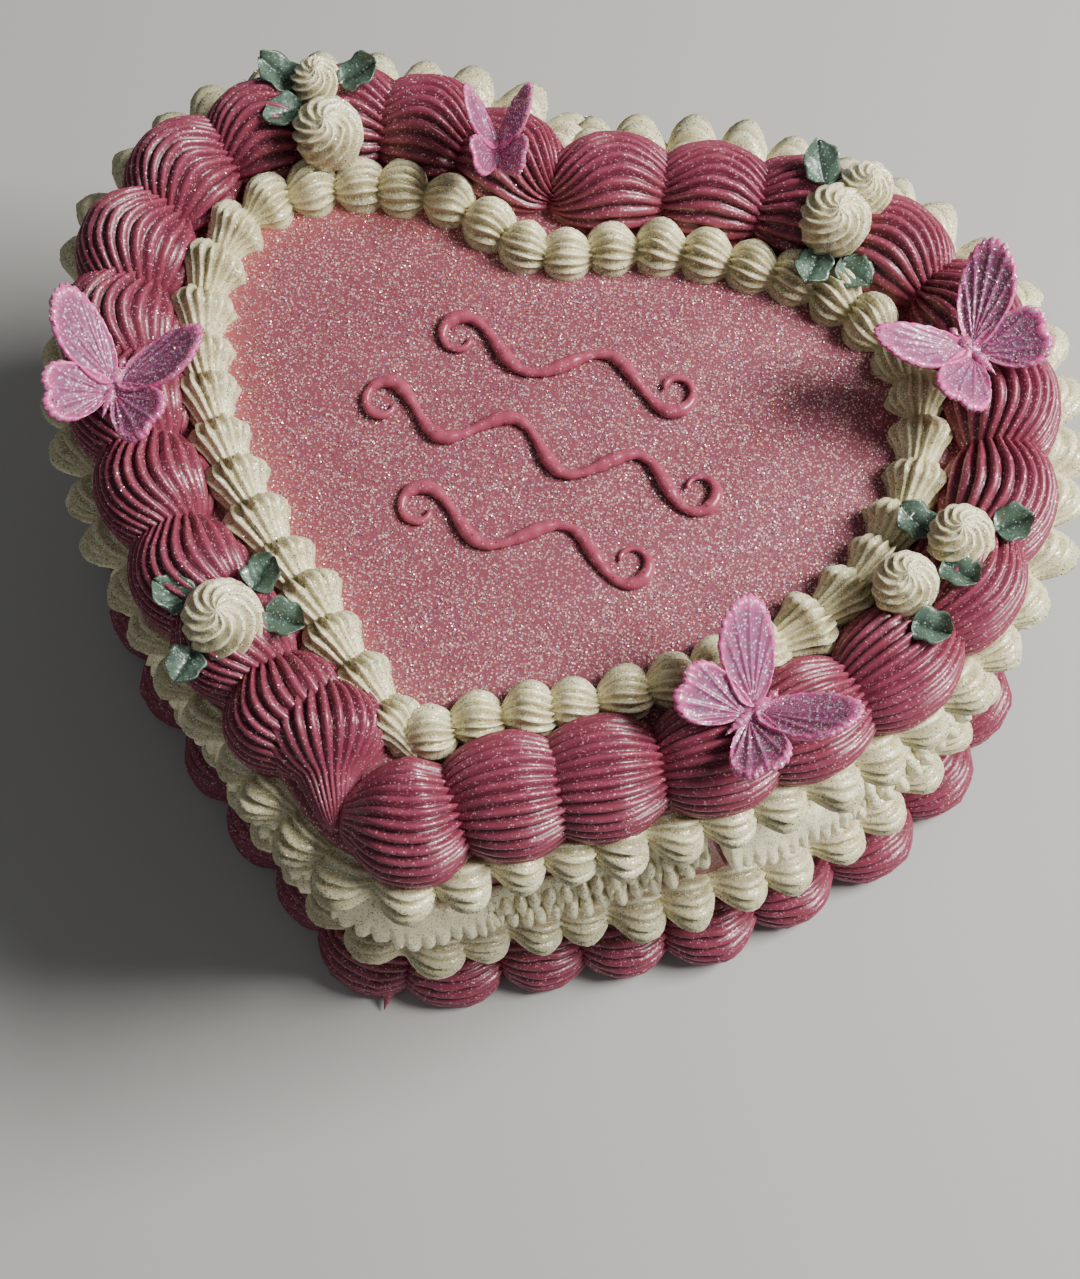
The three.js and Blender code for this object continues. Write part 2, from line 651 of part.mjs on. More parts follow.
// A butterfly: two raised wings with a notched outline on a tapering body.
function butterfly({ x, y, z, heading, raise, scale }) {
  const turn = new THREE.Matrix4().makeRotationZ(THREE.MathUtils.degToRad(heading - 90));
  const place = new THREE.Matrix4().makeTranslation(x, y, z).multiply(turn)
    .scale(new THREE.Vector3(scale, scale, scale));
  const body = loft(6, 4, (t, side) => {
    const girth = INSECT_GIRTH * Math.sin(Math.PI * t);
    const angle = 2 * Math.PI * side / 6;
    return new THREE.Vector3(
      girth * Math.cos(angle), INSECT_LENGTH * (0.5 - t), girth * Math.sin(angle));
  });
  const wings = [1, -1].map((hand, i) => {
    const outline = WING_OUTLINE.map(([across, along]) => new THREE.Vector2(across * hand, along));
    const wing = new THREE.ExtrudeGeometry(
      new THREE.Shape(outline), { depth: WING_THICKNESS, bevelEnabled: false });
    wing.translate(0, 0, -WING_THICKNESS / 2).rotateY(-hand * THREE.MathUtils.degToRad(raise[i]));
    return toSolid(wing.applyMatrix4(place));
  });
  return join([toSolid(body.applyMatrix4(place)), ...wings]);
}

// Each butterfly rests on the crests of the border.
BUTTERFLIES.forEach((place, i) => {
  const solid = butterfly(place).subtract(borderRoom).subtract(rosetteRoom);
  addNode(`butterfly_${i + 1}`, solid, WING_PINK, 0.4);
});

// -------------------------------------------------------------------- scrolls

// A piped scroll: a wave whose two ends curl inward.
class ScrollCurve extends THREE.Curve {
  constructor({ x, y, length, slant, flip, bends }) {
    super();
    Object.assign(this, { x, y, length, flip, bends });
    this.slant = THREE.MathUtils.degToRad(slant);
  }

  getPoint(t, target = new THREE.Vector3()) {
    const side = t < 0.5 ? -1 : 1;
    const along = Math.abs(2 * t - 1);
    const wave = Math.min(along / SCROLL_WAVE_SHARE, 1);
    const curl = Math.max(0, along - SCROLL_WAVE_SHARE) / (1 - SCROLL_WAVE_SHARE);
    const turn = SCROLL_TURN * curl;
    const radius = SCROLL_CURL * (1 - SCROLL_TIGHTENING * curl);
    const crest = Math.sin(wave * this.bends * Math.PI / 2);
    const upward = Math.sign(Math.sin(this.bends * Math.PI / 2));
    const across = side * (wave * (this.length / 2 - SCROLL_CURL) + radius * Math.sin(turn));
    const up = side * this.flip * (SCROLL_WAVE * crest
      - upward * (SCROLL_CURL - radius * Math.cos(turn)) * (curl > 0 ? 1 : 0));
    const cos = Math.cos(this.slant);
    const sin = Math.sin(this.slant);
    return target.set(
      this.x + across * cos - up * sin, this.y + across * sin + up * cos, SCROLL_Z);
  }
}

SCROLLS.forEach((place, i) => {
  const section = new THREE.Shape(SCROLL_SECTION.map(([across, up]) => (
    new THREE.Vector2(-up * SCROLL_RADIUS, across * SCROLL_RADIUS))));
  const tube = new THREE.ExtrudeGeometry(section, {
    steps: 4 * place.bends + SCROLL_CURL_STEPS, extrudePath: new ScrollCurve(place),
    bevelEnabled: false,
  });
  addNode(`scroll_${i + 1}`, toSolid(tube), SCROLL_ROSE, 0.35);
});

// The middle of the cake's outline stands over the origin.
const middle = new THREE.Box3().setFromObject(cake).getCenter(new THREE.Vector3());
cake.position.set(-middle.x, -middle.y, 0);
cake.updateMatrixWorld(true);

export default cake;
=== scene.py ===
"""A heart-shaped glitter cake, dressed round its solids. Sizes are in millimetres, in the
heart's own frame, where the tip points to -Y and the notch to +Y. The lights and the floor
are in metres."""
import math

import bpy
import numpy as np
from mathutils import Matrix, Vector
from mathutils.bvhtree import BVHTree


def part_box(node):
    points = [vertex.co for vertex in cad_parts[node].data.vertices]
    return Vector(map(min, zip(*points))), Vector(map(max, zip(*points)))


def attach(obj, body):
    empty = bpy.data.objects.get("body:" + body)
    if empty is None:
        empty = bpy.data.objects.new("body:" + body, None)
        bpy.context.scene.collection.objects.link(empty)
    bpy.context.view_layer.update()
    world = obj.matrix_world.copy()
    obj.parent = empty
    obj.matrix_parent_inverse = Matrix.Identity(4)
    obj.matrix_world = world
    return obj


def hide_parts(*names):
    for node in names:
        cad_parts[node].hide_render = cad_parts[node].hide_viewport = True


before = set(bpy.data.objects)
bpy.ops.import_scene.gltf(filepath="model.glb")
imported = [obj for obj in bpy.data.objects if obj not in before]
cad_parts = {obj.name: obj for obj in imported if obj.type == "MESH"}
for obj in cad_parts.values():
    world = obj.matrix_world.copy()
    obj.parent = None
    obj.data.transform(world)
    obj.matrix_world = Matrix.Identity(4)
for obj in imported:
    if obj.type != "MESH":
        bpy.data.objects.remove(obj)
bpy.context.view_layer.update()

MM = 0.001

# ---------------------------------------------------------------- driving dimensions

CAKE_HEIGHT = 115
WALL = 25.5
TIP = (-13.2, -62.2)
NOTCH = (-8.2, 51.6)
NOTCH_ANGLE = 0.3  # radians
RIGHT_HALF = dict(
    out=1, wide=(79.5, 19), wide_down=57, wide_up=32,
    lobe=(27, 59), lobe_out=25.4, lobe_in=20, tip_run=(13.3, 13.1), notch_run=9.3)
LEFT_HALF = dict(
    out=-1, wide=(-79.4, 28), wide_down=37.7, wide_up=25.3,
    lobe=(-39.2, 61), lobe_out=24.3, lobe_in=14.8, tip_run=(-15.2, 15.6), notch_run=5.7)

# Shell borders, as in the solids, with the fine ridges that the solids leave out. right and left
# count the shells of each half. A shell is a tail of one girth with a round head on it, widest at
# its middle. half is half its width, height and depth are its reach up and down from its line,
# and lean turns it outward, in degrees. tail_reach and head_reach are shares of the spacing.
# jag is its rim's unevenness, lump its surface's and vary its size's. The rings on the side stand
# out least round the tip: front_height there, and height past the rise. notch_form is what the
# shells shrink to by the notch, arch bows their ridges outward, and rope gives, over a share of
# each half, fans that overlap as a rope's strands do.
ROSE_TOP = dict(
    right=14, left=13, offset=16.8, z=CAKE_HEIGHT, lean=6, half=12.4, height=14.8, depth=3.5,
    girth=0.66, middle=0.56, tail_reach=0.45, head_reach=1.12, ridges=15, ridge_columns=5,
    ridge_depth=0.14, rounded=True, sharp=0.8, rows=24, vary=0.05, twist=0.2, jag=1.6, lump=0.2,
    arch=((0.35, 0.6), (0, 0.2)), arch_by=0.8, start=(-0.3, 0.12), shift=0,
    notch_from=0.55, notch_form=dict(half=10.8, height=12.8, shift=-1.6))
IVORY_INNER = dict(
    right=24, left=20, offset=-0.1, z=CAKE_HEIGHT, lean=0, half=6.2, height=9.4, depth=0.6,
    girth=0.46, middle=0.62, tail_reach=0.36, head_reach=1.08, ridges=9, ridge_columns=4,
    ridge_depth=0.17, rounded=False, sharp=0.9, rows=16, vary=0.08, twist=0.9, jag=1.2, lump=0.2,
    taper=0, rope=((0.3, 0.6), (0.03, 0.66)),
    rope_form=dict(half=6.9, girth=0.5, twist=0.4, middle=0.78, taper=0.6))
IVORY_UPPER = dict(
    right=29, left=26, offset=WALL, z=106, lean=80, half=6.2, height=13, depth=0.8,
    front_height=10.2, rise=((0.35, 0.6), (0.45, 0.65)),
    girth=0.55, middle=0.62, tail_reach=0.32, head_reach=1.06, ridges=9, ridge_columns=4,
    ridge_depth=0.16, rounded=False, sharp=0.9, rows=16, vary=0.08, twist=0.9, jag=0.8, lump=0.2)
IVORY_LOWER = dict(
    right=26, left=24, offset=WALL, z=27.6, lean=76, half=6.6, height=12.6, depth=0.8,
    front_height=9.8, rise=((0.05, 0.3), (0.45, 0.65)),
    girth=0.55, middle=0.62, tail_reach=0.32, head_reach=1.06, ridges=9, ridge_columns=4,
    ridge_depth=0.16, rounded=False, sharp=0.9, rows=16, vary=0.08, twist=0.9, jag=0.8, lump=0.2)
ROSE_BASE = dict(
    right=15, left=14, offset=WALL, z=6, lean=66, half=15.4, height=16.8, depth=1,
    front_height=12.3, rise=((0.02, 0.25), (0.1, 0.5)),
    girth=0.66, middle=0.56, tail_reach=0.3, head_reach=1.08, ridges=15, ridge_columns=5,
    ridge_depth=0.12, rounded=True, sharp=0.8, rows=20, vary=0.05, twist=0.2, jag=1.2, lump=0.25)
# The shell piped last, which lies on top of its neighbours. Theirs have short tails.
TIP_FAN = dict(
    tail=(-23.4, -83.6), head=(-34.5, -54), z=CAKE_HEIGHT + 1, half=13, girth=0.3, middle=0.68,
    taper=0.7, twist=0, tail_beside=0.2)
FIELD_EDGE = -3.5  # the open field of the top ends this far inside the heart
FLAT_SHARE = 0.985
EDGE_ROUND = 1.5
BASE_SPIKE = dict(root=(-16.2, -92, 8), tip=(-17.4, -102.6, 1.2), girth=4.6)
BASE_FLOOR = 0.2  # the base border is level below, this far above the surface

SWAGS_EACH_SIDE = 4
SWAG_START = -11
NOTCH_SPACE = 9
SWAG_TOP = 97.6
SWAG_SAG = 24
SWAG_DROP = 15.3
SWAG_SPACE = 1.2
RIBBON_SHARE = 0.36
PLEAT_PITCH = 3.5
SWAG_RUFFLE = dict(drop=SWAG_DROP, flare=9.6, below=0, steps=240, pitch=2.7, ribbon=RIBBON_SHARE)
ECHO_RUFFLE = dict(
    drop=5.4, flare=7.8, below=SWAG_DROP - 0.6, steps=200, pitch=PLEAT_PITCH, ribbon=0.05)

# The place and radius of each.
ROSETTES = [
    (-65.1, 76.7, 5.8), (-59.5, 64.5, 8), (51.8, 66.2, 7.9), (57.2, 75, 6.4),
    (89.1, 0.4, 7.1), (79.8, -12.5, 7), (-54.3, -47.6, 8.6)]
ROSETTE_BASE = 126.6
ROSETTE_HEIGHT = 8.4
ROSETTE_RADIUS = 7.5

# The root, the tip and how far the tip rises.
LEAVES = [
    ((-69.3, 75.6), (-78.5, 79.5), 3), ((-66.6, 70.6), (-73.6, 64.4), 2),
    ((-59.8, 76.9), (-52.4, 81.5), 4), ((48.6, 73.7), (45, 82), 4),
    ((50.2, 60.6), (48.4, 52.4), 1), ((55.2, 60.2), (61.8, 54.8), 1),
    ((83.4, 1), (76, 5.6), 1), ((95.8, 3.6), (102.6, 7.4), 3),
    ((86.4, -5.6), (93.4, -10), 2), ((82.2, -19.6), (90, -21.6), 2),
    ((-61.4, -45.6), (-70, -42.8), 2), ((-58.4, -54.8), (-60.6, -62.4), 1),
    ((-50.6, -39.8), (-47.6, -32.4), 2), ((-46.4, -44), (-37.8, -45.6), 1)]
LEAF_HALF_WIDTH = 3.6
LEAF_THICKNESS = 0.75

# The middle of the body, its heading and how far each wing is raised, in degrees, and its scale.
BUTTERFLIES = [
    ((-88.4, -4.6, 131.2), 86, (24, 38), 1), ((-22.2, 66.4, 130.4), 104, (48, 54), 0.7),
    ((85.2, 40.2, 131.2), 142, (26, 22), 1), ((53.6, -46.4, 131.2), 52, (30, 20), 1)]

SCROLLS = [
    dict(x=1.4, y=27.5, length=58, slant=-5, flip=1, bends=3),
    dict(x=-0.4, y=7.5, length=80, slant=-6, flip=-1, bends=5),
    dict(x=0.6, y=-13, length=56, slant=-5, flip=1, bends=3)]
SCROLL_RADIUS = 1.5
SCROLL_LIFT = 0.95

FLAKE_LIFT = 0.2
FLAKE_SHAPE = 0.3

# -------------------------------------------------------------------------- the heart

SMOOTHING_STEP = 0.5
TANGENT_SMOOTHING = 7
OFFSET_SMOOTHING = 6


def vec(values):
    return np.array(values, float)


def bezier(a, b, c, d, count):
    t = np.linspace(0, 1, count, endpoint=False)[:, None]
    return (1 - t) ** 3 * a + 3 * (1 - t) ** 2 * t * b + 3 * (1 - t) * t ** 2 * c + t ** 3 * d


def softened(values, lengths, width):
    """Values along a line, each averaged over a width of it, with both ends kept."""
    if lengths[-1] < 4 * width:
        return values
    even = np.linspace(0, lengths[-1], int(lengths[-1] / SMOOTHING_STEP) + 1)
    size = int(width / SMOOTHING_STEP)
    kernel = np.hanning(2 * size + 1)
    kernel /= kernel.sum()
    smooth = []
    for column in values.T:
        run = np.interp(even, lengths, column)
        padded = np.pad(run, size, mode="reflect", reflect_type="odd")
        smooth.append(np.interp(lengths, even, np.convolve(padded, kernel, "valid")))
    return np.stack(smooth, -1)


def lengths_along(points):
    steps = np.linalg.norm(np.diff(points, axis=0), axis=1)
    return np.concatenate([[0], np.cumsum(steps)])


class Line:
    """A polyline measured by length, with smooth normals. Past its ends it runs straight on."""

    def __init__(self, points, out):
        self.points = points
        self.out = out
        self.lengths = lengths_along(points)
        self.length = self.lengths[-1]
        slopes = np.gradient(points, self.lengths, axis=0)
        tangents = softened(slopes, self.lengths, TANGENT_SMOOTHING)
        self.tangents = tangents / np.linalg.norm(tangents, axis=1)[:, None]

    def at(self, s):
        s = np.asarray(s, float)
        inside = np.clip(s, 0, self.length)
        point = np.stack([np.interp(inside, self.lengths, self.points[:, k]) for k in (0, 1)], -1)
        tangent = np.stack(
            [np.interp(inside, self.lengths, self.tangents[:, k]) for k in (0, 1)], -1)
        tangent /= np.linalg.norm(tangent, axis=-1)[..., None]
        point = point + tangent * (s - inside)[..., None]
        normal = np.stack([tangent[..., 1], -tangent[..., 0]], -1) * self.out
        return point, normal, tangent


def half_heart(half):
    out, wide, lobe = half["out"], vec(half["wide"]), vec(half["lobe"])
    tip, notch = vec(TIP), vec(NOTCH)
    along_notch = vec([math.cos(NOTCH_ANGLE), math.sin(NOTCH_ANGLE)])
    path = [
        bezier(tip, tip + vec(half["tip_run"]), wide - vec([0, half["wide_down"]]), wide, 200),
        bezier(wide, wide + vec([0, half["wide_up"]]), lobe + vec([out * half["lobe_out"], 0]),
               lobe, 150),
        bezier(lobe, lobe - vec([out * half["lobe_in"], 0]),
               notch + along_notch * out * half["notch_run"], notch, 120),
        notch[None]]
    return Line(np.concatenate(path), out)


HALVES = [half_heart(RIGHT_HALF), half_heart(LEFT_HALF)]
HEART_POINTS = np.concatenate([half.points for half in HALVES])
tip_normals = [half.at(0)[1] for half in HALVES]
TIP_DIRECTION = sum(tip_normals) / np.linalg.norm(sum(tip_normals))
TIP_STEPS = 24


def offset_half(half, offset):
    """One half moved outward: an arc round the tip, and cut off where the halves cross."""
    arc = []
    if offset > 0:
        first = half.at(0)[1]
        for i in range(TIP_STEPS):
            direction = TIP_DIRECTION + (first - TIP_DIRECTION) * i / TIP_STEPS
            arc.append(vec(TIP) + direction / np.linalg.norm(direction) * offset)
    point, normal, _ = half.at(np.linspace(0, half.length, 400))
    moved = point + normal * offset
    near = np.linalg.norm(moved[:, None] - HEART_POINTS[None], axis=-1).min(1)
    moved = moved[near > abs(offset) - 0.1]
    path = np.concatenate([vec(arc), moved]) if arc else moved
    return Line(softened(path, lengths_along(path), OFFSET_SMOOTHING), half.out)


def offset_loop(offset):
    right, left = (offset_half(half, offset) for half in HALVES)
    return Line(np.concatenate([right.points, left.points[::-1]]), 1)


SIDE_LOOP = offset_loop(WALL)
NOTCH_PLACE = offset_half(HALVES[0], WALL).length
body_low, body_high = (vec(corner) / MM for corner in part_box("cake_body"))
own_low, own_high = SIDE_LOOP.points.min(0), SIDE_LOOP.points.max(0)
ORIGIN = ((body_low + body_high)[:2] - (own_low + own_high)) / 2  # the heart's place in the row

# ---------------------------------------------------------------------- mesh building


class Builder:
    """Gathers vertices, faces and a value for each vertex into one mesh piece. The value mixes in a
    second colour: painted shade in grooves, folds and undersides, a painted glow on the top, and the
    wings' and flakes' own tints.
    """

    def __init__(self):
        self.points, self.faces, self.grooves, self.count = [], [], [], 0

    def add(self, points, faces, groove=None):
        self.points.append(points.reshape(-1, 3))
        self.faces.append(faces + self.count)
        size = len(self.points[-1])
        self.grooves.append(np.zeros(size) if groove is None else groove.reshape(-1))
        self.count += size

    def piece(self, name, material, slot, nodes=(), vertex_value_name="groove"):
        points = np.concatenate(self.points)
        points = np.column_stack([points[:, :2] + ORIGIN, points[:, 2]]) * MM
        faces = np.concatenate(self.faces)
        mesh = bpy.data.meshes.new(name)
        mesh.vertices.add(len(points))
        mesh.vertices.foreach_set("co", points.reshape(-1))
        sides = faces.shape[1]
        mesh.loops.add(faces.size)
        mesh.loops.foreach_set("vertex_index", faces.reshape(-1))
        mesh.polygons.add(len(faces))
        mesh.polygons.foreach_set("loop_start", np.arange(len(faces)) * sides)
        mesh.polygons.foreach_set("use_smooth", np.ones(len(faces), bool))
        groove = mesh.attributes.new(vertex_value_name, "FLOAT", "POINT")
        groove.data.foreach_set("value", np.concatenate(self.grooves))
        mesh.update()
        mesh.validate()
        made = bpy.data.objects.new(name, mesh)
        bpy.context.scene.collection.objects.link(made)
        mesh.materials.append(material)
        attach(made, "root")
        if nodes:
            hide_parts(*nodes)
        return made


def grid_faces(rows, columns, wrap):
    """Quads of a grid of points, rows by columns; wrap joins the last column to the first."""
    i, j = np.meshgrid(np.arange(rows - 1), np.arange(columns if wrap else columns - 1),
                       indexing="ij")
    k = (j + 1) % columns
    return np.stack([i * columns + j, i * columns + k, (i + 1) * columns + k,
                     (i + 1) * columns + j], -1).reshape(-1, 4)


def lumps(points, scale, seed):
    """Smooth unevenness between about -1 and 1, at a length scale."""
    random = np.random.default_rng(seed)
    total = np.zeros(points.shape[:-1])
    waves = 7
    for _ in range(waves):
        direction = random.normal(size=3)
        direction *= random.uniform(0.6, 1.5) * 2 * math.pi / scale / np.linalg.norm(direction)
        total += np.sin(points @ direction + random.uniform(0, 2 * math.pi))
    return total / math.sqrt(waves)


def smoothstep(low, high, x):
    t = np.clip((x - low) / (high - low), 0, 1)
    return t * t * (3 - 2 * t)


# ----------------------------------------------------------------------------- piping

SKIRT_COLUMNS = 4  # on each side, to close a shell underneath
CLOSED = 0.004  # the share of its girth that a shell's ends keep
MOST_TURN = 0.85
RIDGE_DRAWS = 60
ROPE_FADE = 0.05


def shell_profile(along, form):
    """The girth of a shell along its length: a round head that rises out of its tail."""
    middle = form["middle"]
    off = np.abs(along - middle) / (1 - middle)
    ball = np.sqrt(np.clip(1 - off ** np.where(along > middle, 2.6, 2), 0, 1))
    widening = 1 + 2 * form.get("taper", 0) * (along / middle) ** 1.2
    tail = form["girth"] * np.sqrt(1 - (1 - along) ** 8) * (1 - smoothstep(0.6, 1, along))
    return (ball ** 3 + np.minimum(tail * widening, 1) ** 3) ** (1 / 3)


def shell(builder, line, tail, head, form, seed):
    """One piped shell. Ridges fan out from its narrow tail to its head's jagged rim."""
    random = np.random.default_rng(seed)
    size = 1 + form["vary"] * random.uniform(-1, 1)
    rows, columns = form["rows"], form["ridges"] * form["ridge_columns"]
    u = np.linspace(0, 1, rows + 1)[:, None]
    along = (1 - np.cos(np.pi * u)) / 2
    swell = shell_profile(along, form) * size
    swell[0] = swell[-1] = CLOSED
    ends = np.minimum(swell, 1)
    step = np.pi / columns
    column = np.arange(-SKIRT_COLUMNS, columns + SKIRT_COLUMNS + 1)
    across_ridges = column[None, :] * step
    inside = np.clip(across_ridges, 0, np.pi)
    skirt = SKIRT_COLUMNS * step
    under = np.abs(across_ridges - inside) / skirt
    twist = form["twist"] * random.uniform(0.4, 1)
    turn = form.get("bow", 0) * (np.sin(np.pi * along) - 0.5) + twist * (along - 0.5)
    turn = np.clip(turn + random.uniform(-0.06, 0.06), -MOST_TURN, MOST_TURN)
    angle = across_ridges - turn * np.sin(inside)
    wave = np.abs(np.sin(form["ridges"] * across_ridges)) ** form["sharp"]
    ridge = np.floor(column / form["ridge_columns"] + (0 if form["rounded"] else 0.5)).astype(int)
    draw = ridge % RIDGE_DRAWS
    strength = 1 + 0.3 * random.uniform(-1, 1, RIDGE_DRAWS)[draw][None, :]
    valley = ((1 - wave) if form["rounded"] else wave * strength) + 0 * along
    fade = (1 - 0.7 * under) * smoothstep(0, 0.12, along) * (0.75 + 0.5 * along)
    radius = swell * (1 - form["ridge_depth"] * valley * fade)
    across = np.where(under > 0, np.sign(np.cos(angle)), np.cos(angle)) * radius * form["half"]
    lift = np.where(under > 0, -under * form["depth"], np.sin(angle) * form["height"]) * radius
    uneven = random.uniform(-1, 1, RIDGE_DRAWS)[draw][None, :]
    rim = smoothstep(0.45, 0.9, along) * form["jag"] * (0.35 * uneven - 0.65 * valley)
    rim = rim * smoothstep(0, 0.7, ends)
    s = tail + (head - tail) * along + rim * (1 - 0.6 * under)
    lean = math.radians(form["lean"])
    point, normal, _ = line.at(s)
    sway = form.get("shift", 0) + random.uniform(-0.06, 0.06) * form["half"]
    sideways = sway + across * math.cos(lean) + lift * math.sin(lean)
    place = point + normal * sideways[..., None]
    z = form["z"] + lift * math.cos(lean) - across * math.sin(lean)
    points = np.dstack([place, z])
    rough = lumps(points, 7, 11) * form["lump"] + lumps(points, 2.2, 12) * form["lump"] * 0.3
    points[..., 2] += rough * math.cos(lean) * ends
    points[..., :2] += normal * (rough * math.sin(lean) * ends)[..., None]
    # The last value paints shade into the ridges' valleys.
    builder.add(points, grid_faces(rows + 1, len(column), True), np.clip(valley * fade * ends, 0, 1))


def blended(form, other, share):
    """A form whose values have gone a share of the way to another's."""
    return {**form, **{key: form[key] + (other[key] - form[key]) * share for key in other}}


def fitted(form, side, share):
    """The form of the shell at a share of the way from the tip to the notch."""
    made = dict(form)
    if "notch_form" in form:
        made = blended(made, form["notch_form"], smoothstep(form["notch_from"], 1, share))
    if "arch" in form:
        made["bow"] = form["arch_by"] * smoothstep(*form["arch"][side], share)
    if "rope" in form:
        low, high = form["rope"][side]
        rope = (smoothstep(low - ROPE_FADE, low + ROPE_FADE, share)
                * smoothstep(high + ROPE_FADE, high - ROPE_FADE, share))
        made = blended(made, form["rope_form"], rope)
    if "rise" in form:
        risen = smoothstep(*form["rise"][side], share)
        made["height"] = form["front_height"] + (form["height"] - form["front_height"]) * risen
    return made


def border(form, seed, fan=None):
    """Shells along both halves of the heart. A fan stands for the left half's first shell."""
    builder = Builder()
    for side, half in enumerate(HALVES):
        line = offset_half(half, form["offset"])
        count = form["left" if side else "right"]
        spacing = line.length / count
        moved = np.random.default_rng(seed + side).uniform(-0.08, 0.08, count)
        for i in range(count):
            if fan and side and i == 0:
                across = Line(vec([fan["tail"], fan["head"]]), half.out)
                shell(builder, across, 0, across.length, {**form, **fan}, seed)
                continue
            begin = i + moved[i] + form.get("start", (0, 0))[side] * (1 - i / count)
            beside_fan = fan and i == side
            reach = fan["tail_beside"] if beside_fan else form["tail_reach"]
            tail = (begin - reach) * spacing
            head = (begin + form["head_reach"]) * spacing
            made = fitted(form, side, (i + 0.5) / count)
            shell(builder, line, tail, head, made, seed * 1000 + side * 100 + i)
    return builder


def pulled_tip(builder, form):
    """A point of icing drawn out where the tip's last shell was let go."""
    root, tip = vec(form["root"]), vec(form["tip"])
    rows, columns = 16, 14
    u = np.linspace(0, 1, rows)[:, None]
    angle = np.linspace(0, 2 * np.pi, columns, endpoint=False)[None, :]
    radius = form["girth"] * (1 - u) ** 1.2 + 0.12
    spine = root + (tip - root) * u[..., None] + vec([0, 0, 2]) * (u * (1 - u))[..., None]
    across = np.dstack([np.cos(angle) + 0 * u, 0 * u * angle, np.sin(angle) + 0 * u])
    builder.add(spine + across * radius[..., None], grid_faces(rows, columns, True))


# ---------------------------------------------------------------------- swags, echoes


def swag_level(t):
    return SWAG_TOP - SWAG_SAG * np.sin(np.pi * np.clip(t, 0, 1)) ** 0.8


def ruffle(builder, start, end, seed, drop, flare, below, steps, pitch, ribbon):
    """A ruffle from start to end round the side: a fluted ribbon that tightens into pleats
    after a share of its length. A pleat's width is its pitch."""
    random = np.random.default_rng(seed)
    t = np.linspace(0, 1, steps)[:, None]
    closing = smoothstep(ribbon - 0.05, ribbon + 0.1, t)
    along = (end - start) * t
    wander = 0.5 * np.sin(along / 7 + random.uniform(0, 6))
    phase = (along + wander) / pitch * np.pi
    lobe = np.abs(np.sin(phase)) ** 0.6
    count = np.floor(phase / np.pi).astype(int)
    uneven = random.uniform(-1, 1, 200)[count % 200]
    front = np.linspace(0, 1, 14)
    v = np.concatenate([front, [0.92, 0.65, 0.3, 0]])[None, :]
    back = (np.arange(v.shape[1]) >= len(front))[None, :]
    sag = 0.1 * np.sin(along / 5.1) + 0.06 * np.sin(along / 2.3 + 1)
    flutes = 0.16 * (lobe - 0.5) * smoothstep(0.25, 0.7, v)
    flat = 0.3 + 0.62 * v ** 0.6 - 0.3 * smoothstep(0.8, 1, v) + (sag + 0.05 * uneven) * v + flutes
    pleats = 0.14 + 0.3 * v ** 0.7 + 0.34 * lobe * np.sin(np.pi * v ** 1.3) ** 0.8
    shape = flat * (1 - closing) + pleats * closing
    out = 0.5 + flare * shape
    out = np.where(back, 0.35 + 0.3 * flare * v ** 1.5 * (0.5 + 0.5 * shape), out)
    ends = smoothstep(0, 0.03, t) * smoothstep(1, 0.98, t)
    out = 0.3 + (out - 0.3) * (0.1 + 0.9 * ends)
    lip = (0.35 * np.sin(phase * 0.9) + 0.3 * uneven) * (1 - v) ** 3
    hem = (0.1 + 0.08 * closing) * (1 - lobe)
    fall = drop * v * (1 - hem) * (0.6 + 0.4 * ends) + lip * (~back)
    point, normal, _ = SIDE_LOOP.at((start + along + 0 * v) % SIDE_LOOP.length)
    place = point + normal * out[..., None]
    points = np.dstack([place, swag_level(t) - below - fall])
    rough = lumps(points, 4, seed) * 0.2 + lumps(points, 1.6, seed + 1) * 0.1
    points[..., :2] += normal * (rough * np.minimum(v * 3, 1))[..., None]
    # Painted shade between the flutes and pleats, deepest where the ruffle closes.
    depth = (1 - lobe) * (0.3 + 0.6 * closing) * smoothstep(0.2, 0.6, v)
    builder.add(points, grid_faces(steps, v.shape[1], True), depth)


def lobe_ball(builder, s, z, out, radii, tilt, seed):
    """A rounded fold of a pleat: along the side, outward and down, in its own radii."""
    rows, columns = 9, 14
    polar = np.linspace(0.05, np.pi - 0.05, rows)[:, None]
    angle = np.linspace(0, 2 * np.pi, columns, endpoint=False)[None, :]
    swirl = 1 + 0.07 * np.sin(3 * angle + 5 * polar + seed)
    side = radii[0] * np.sin(polar) * np.cos(angle) * swirl
    outward = radii[1] * np.sin(polar) * np.sin(angle) * swirl
    down = -radii[2] * np.cos(polar) + 0 * angle
    point, normal, _ = SIDE_LOOP.at((s + side + tilt * down) % SIDE_LOOP.length)
    place = point + normal * np.maximum(out + outward, 0.35)[..., None]
    # Painted shade on the lobe's sides, where it meets its neighbours.
    groove = smoothstep(0.5, 1, np.abs(np.cos(angle))) * 0.7 + 0 * polar
    builder.add(np.dstack([place, z - down]), grid_faces(rows, columns, True), groove)


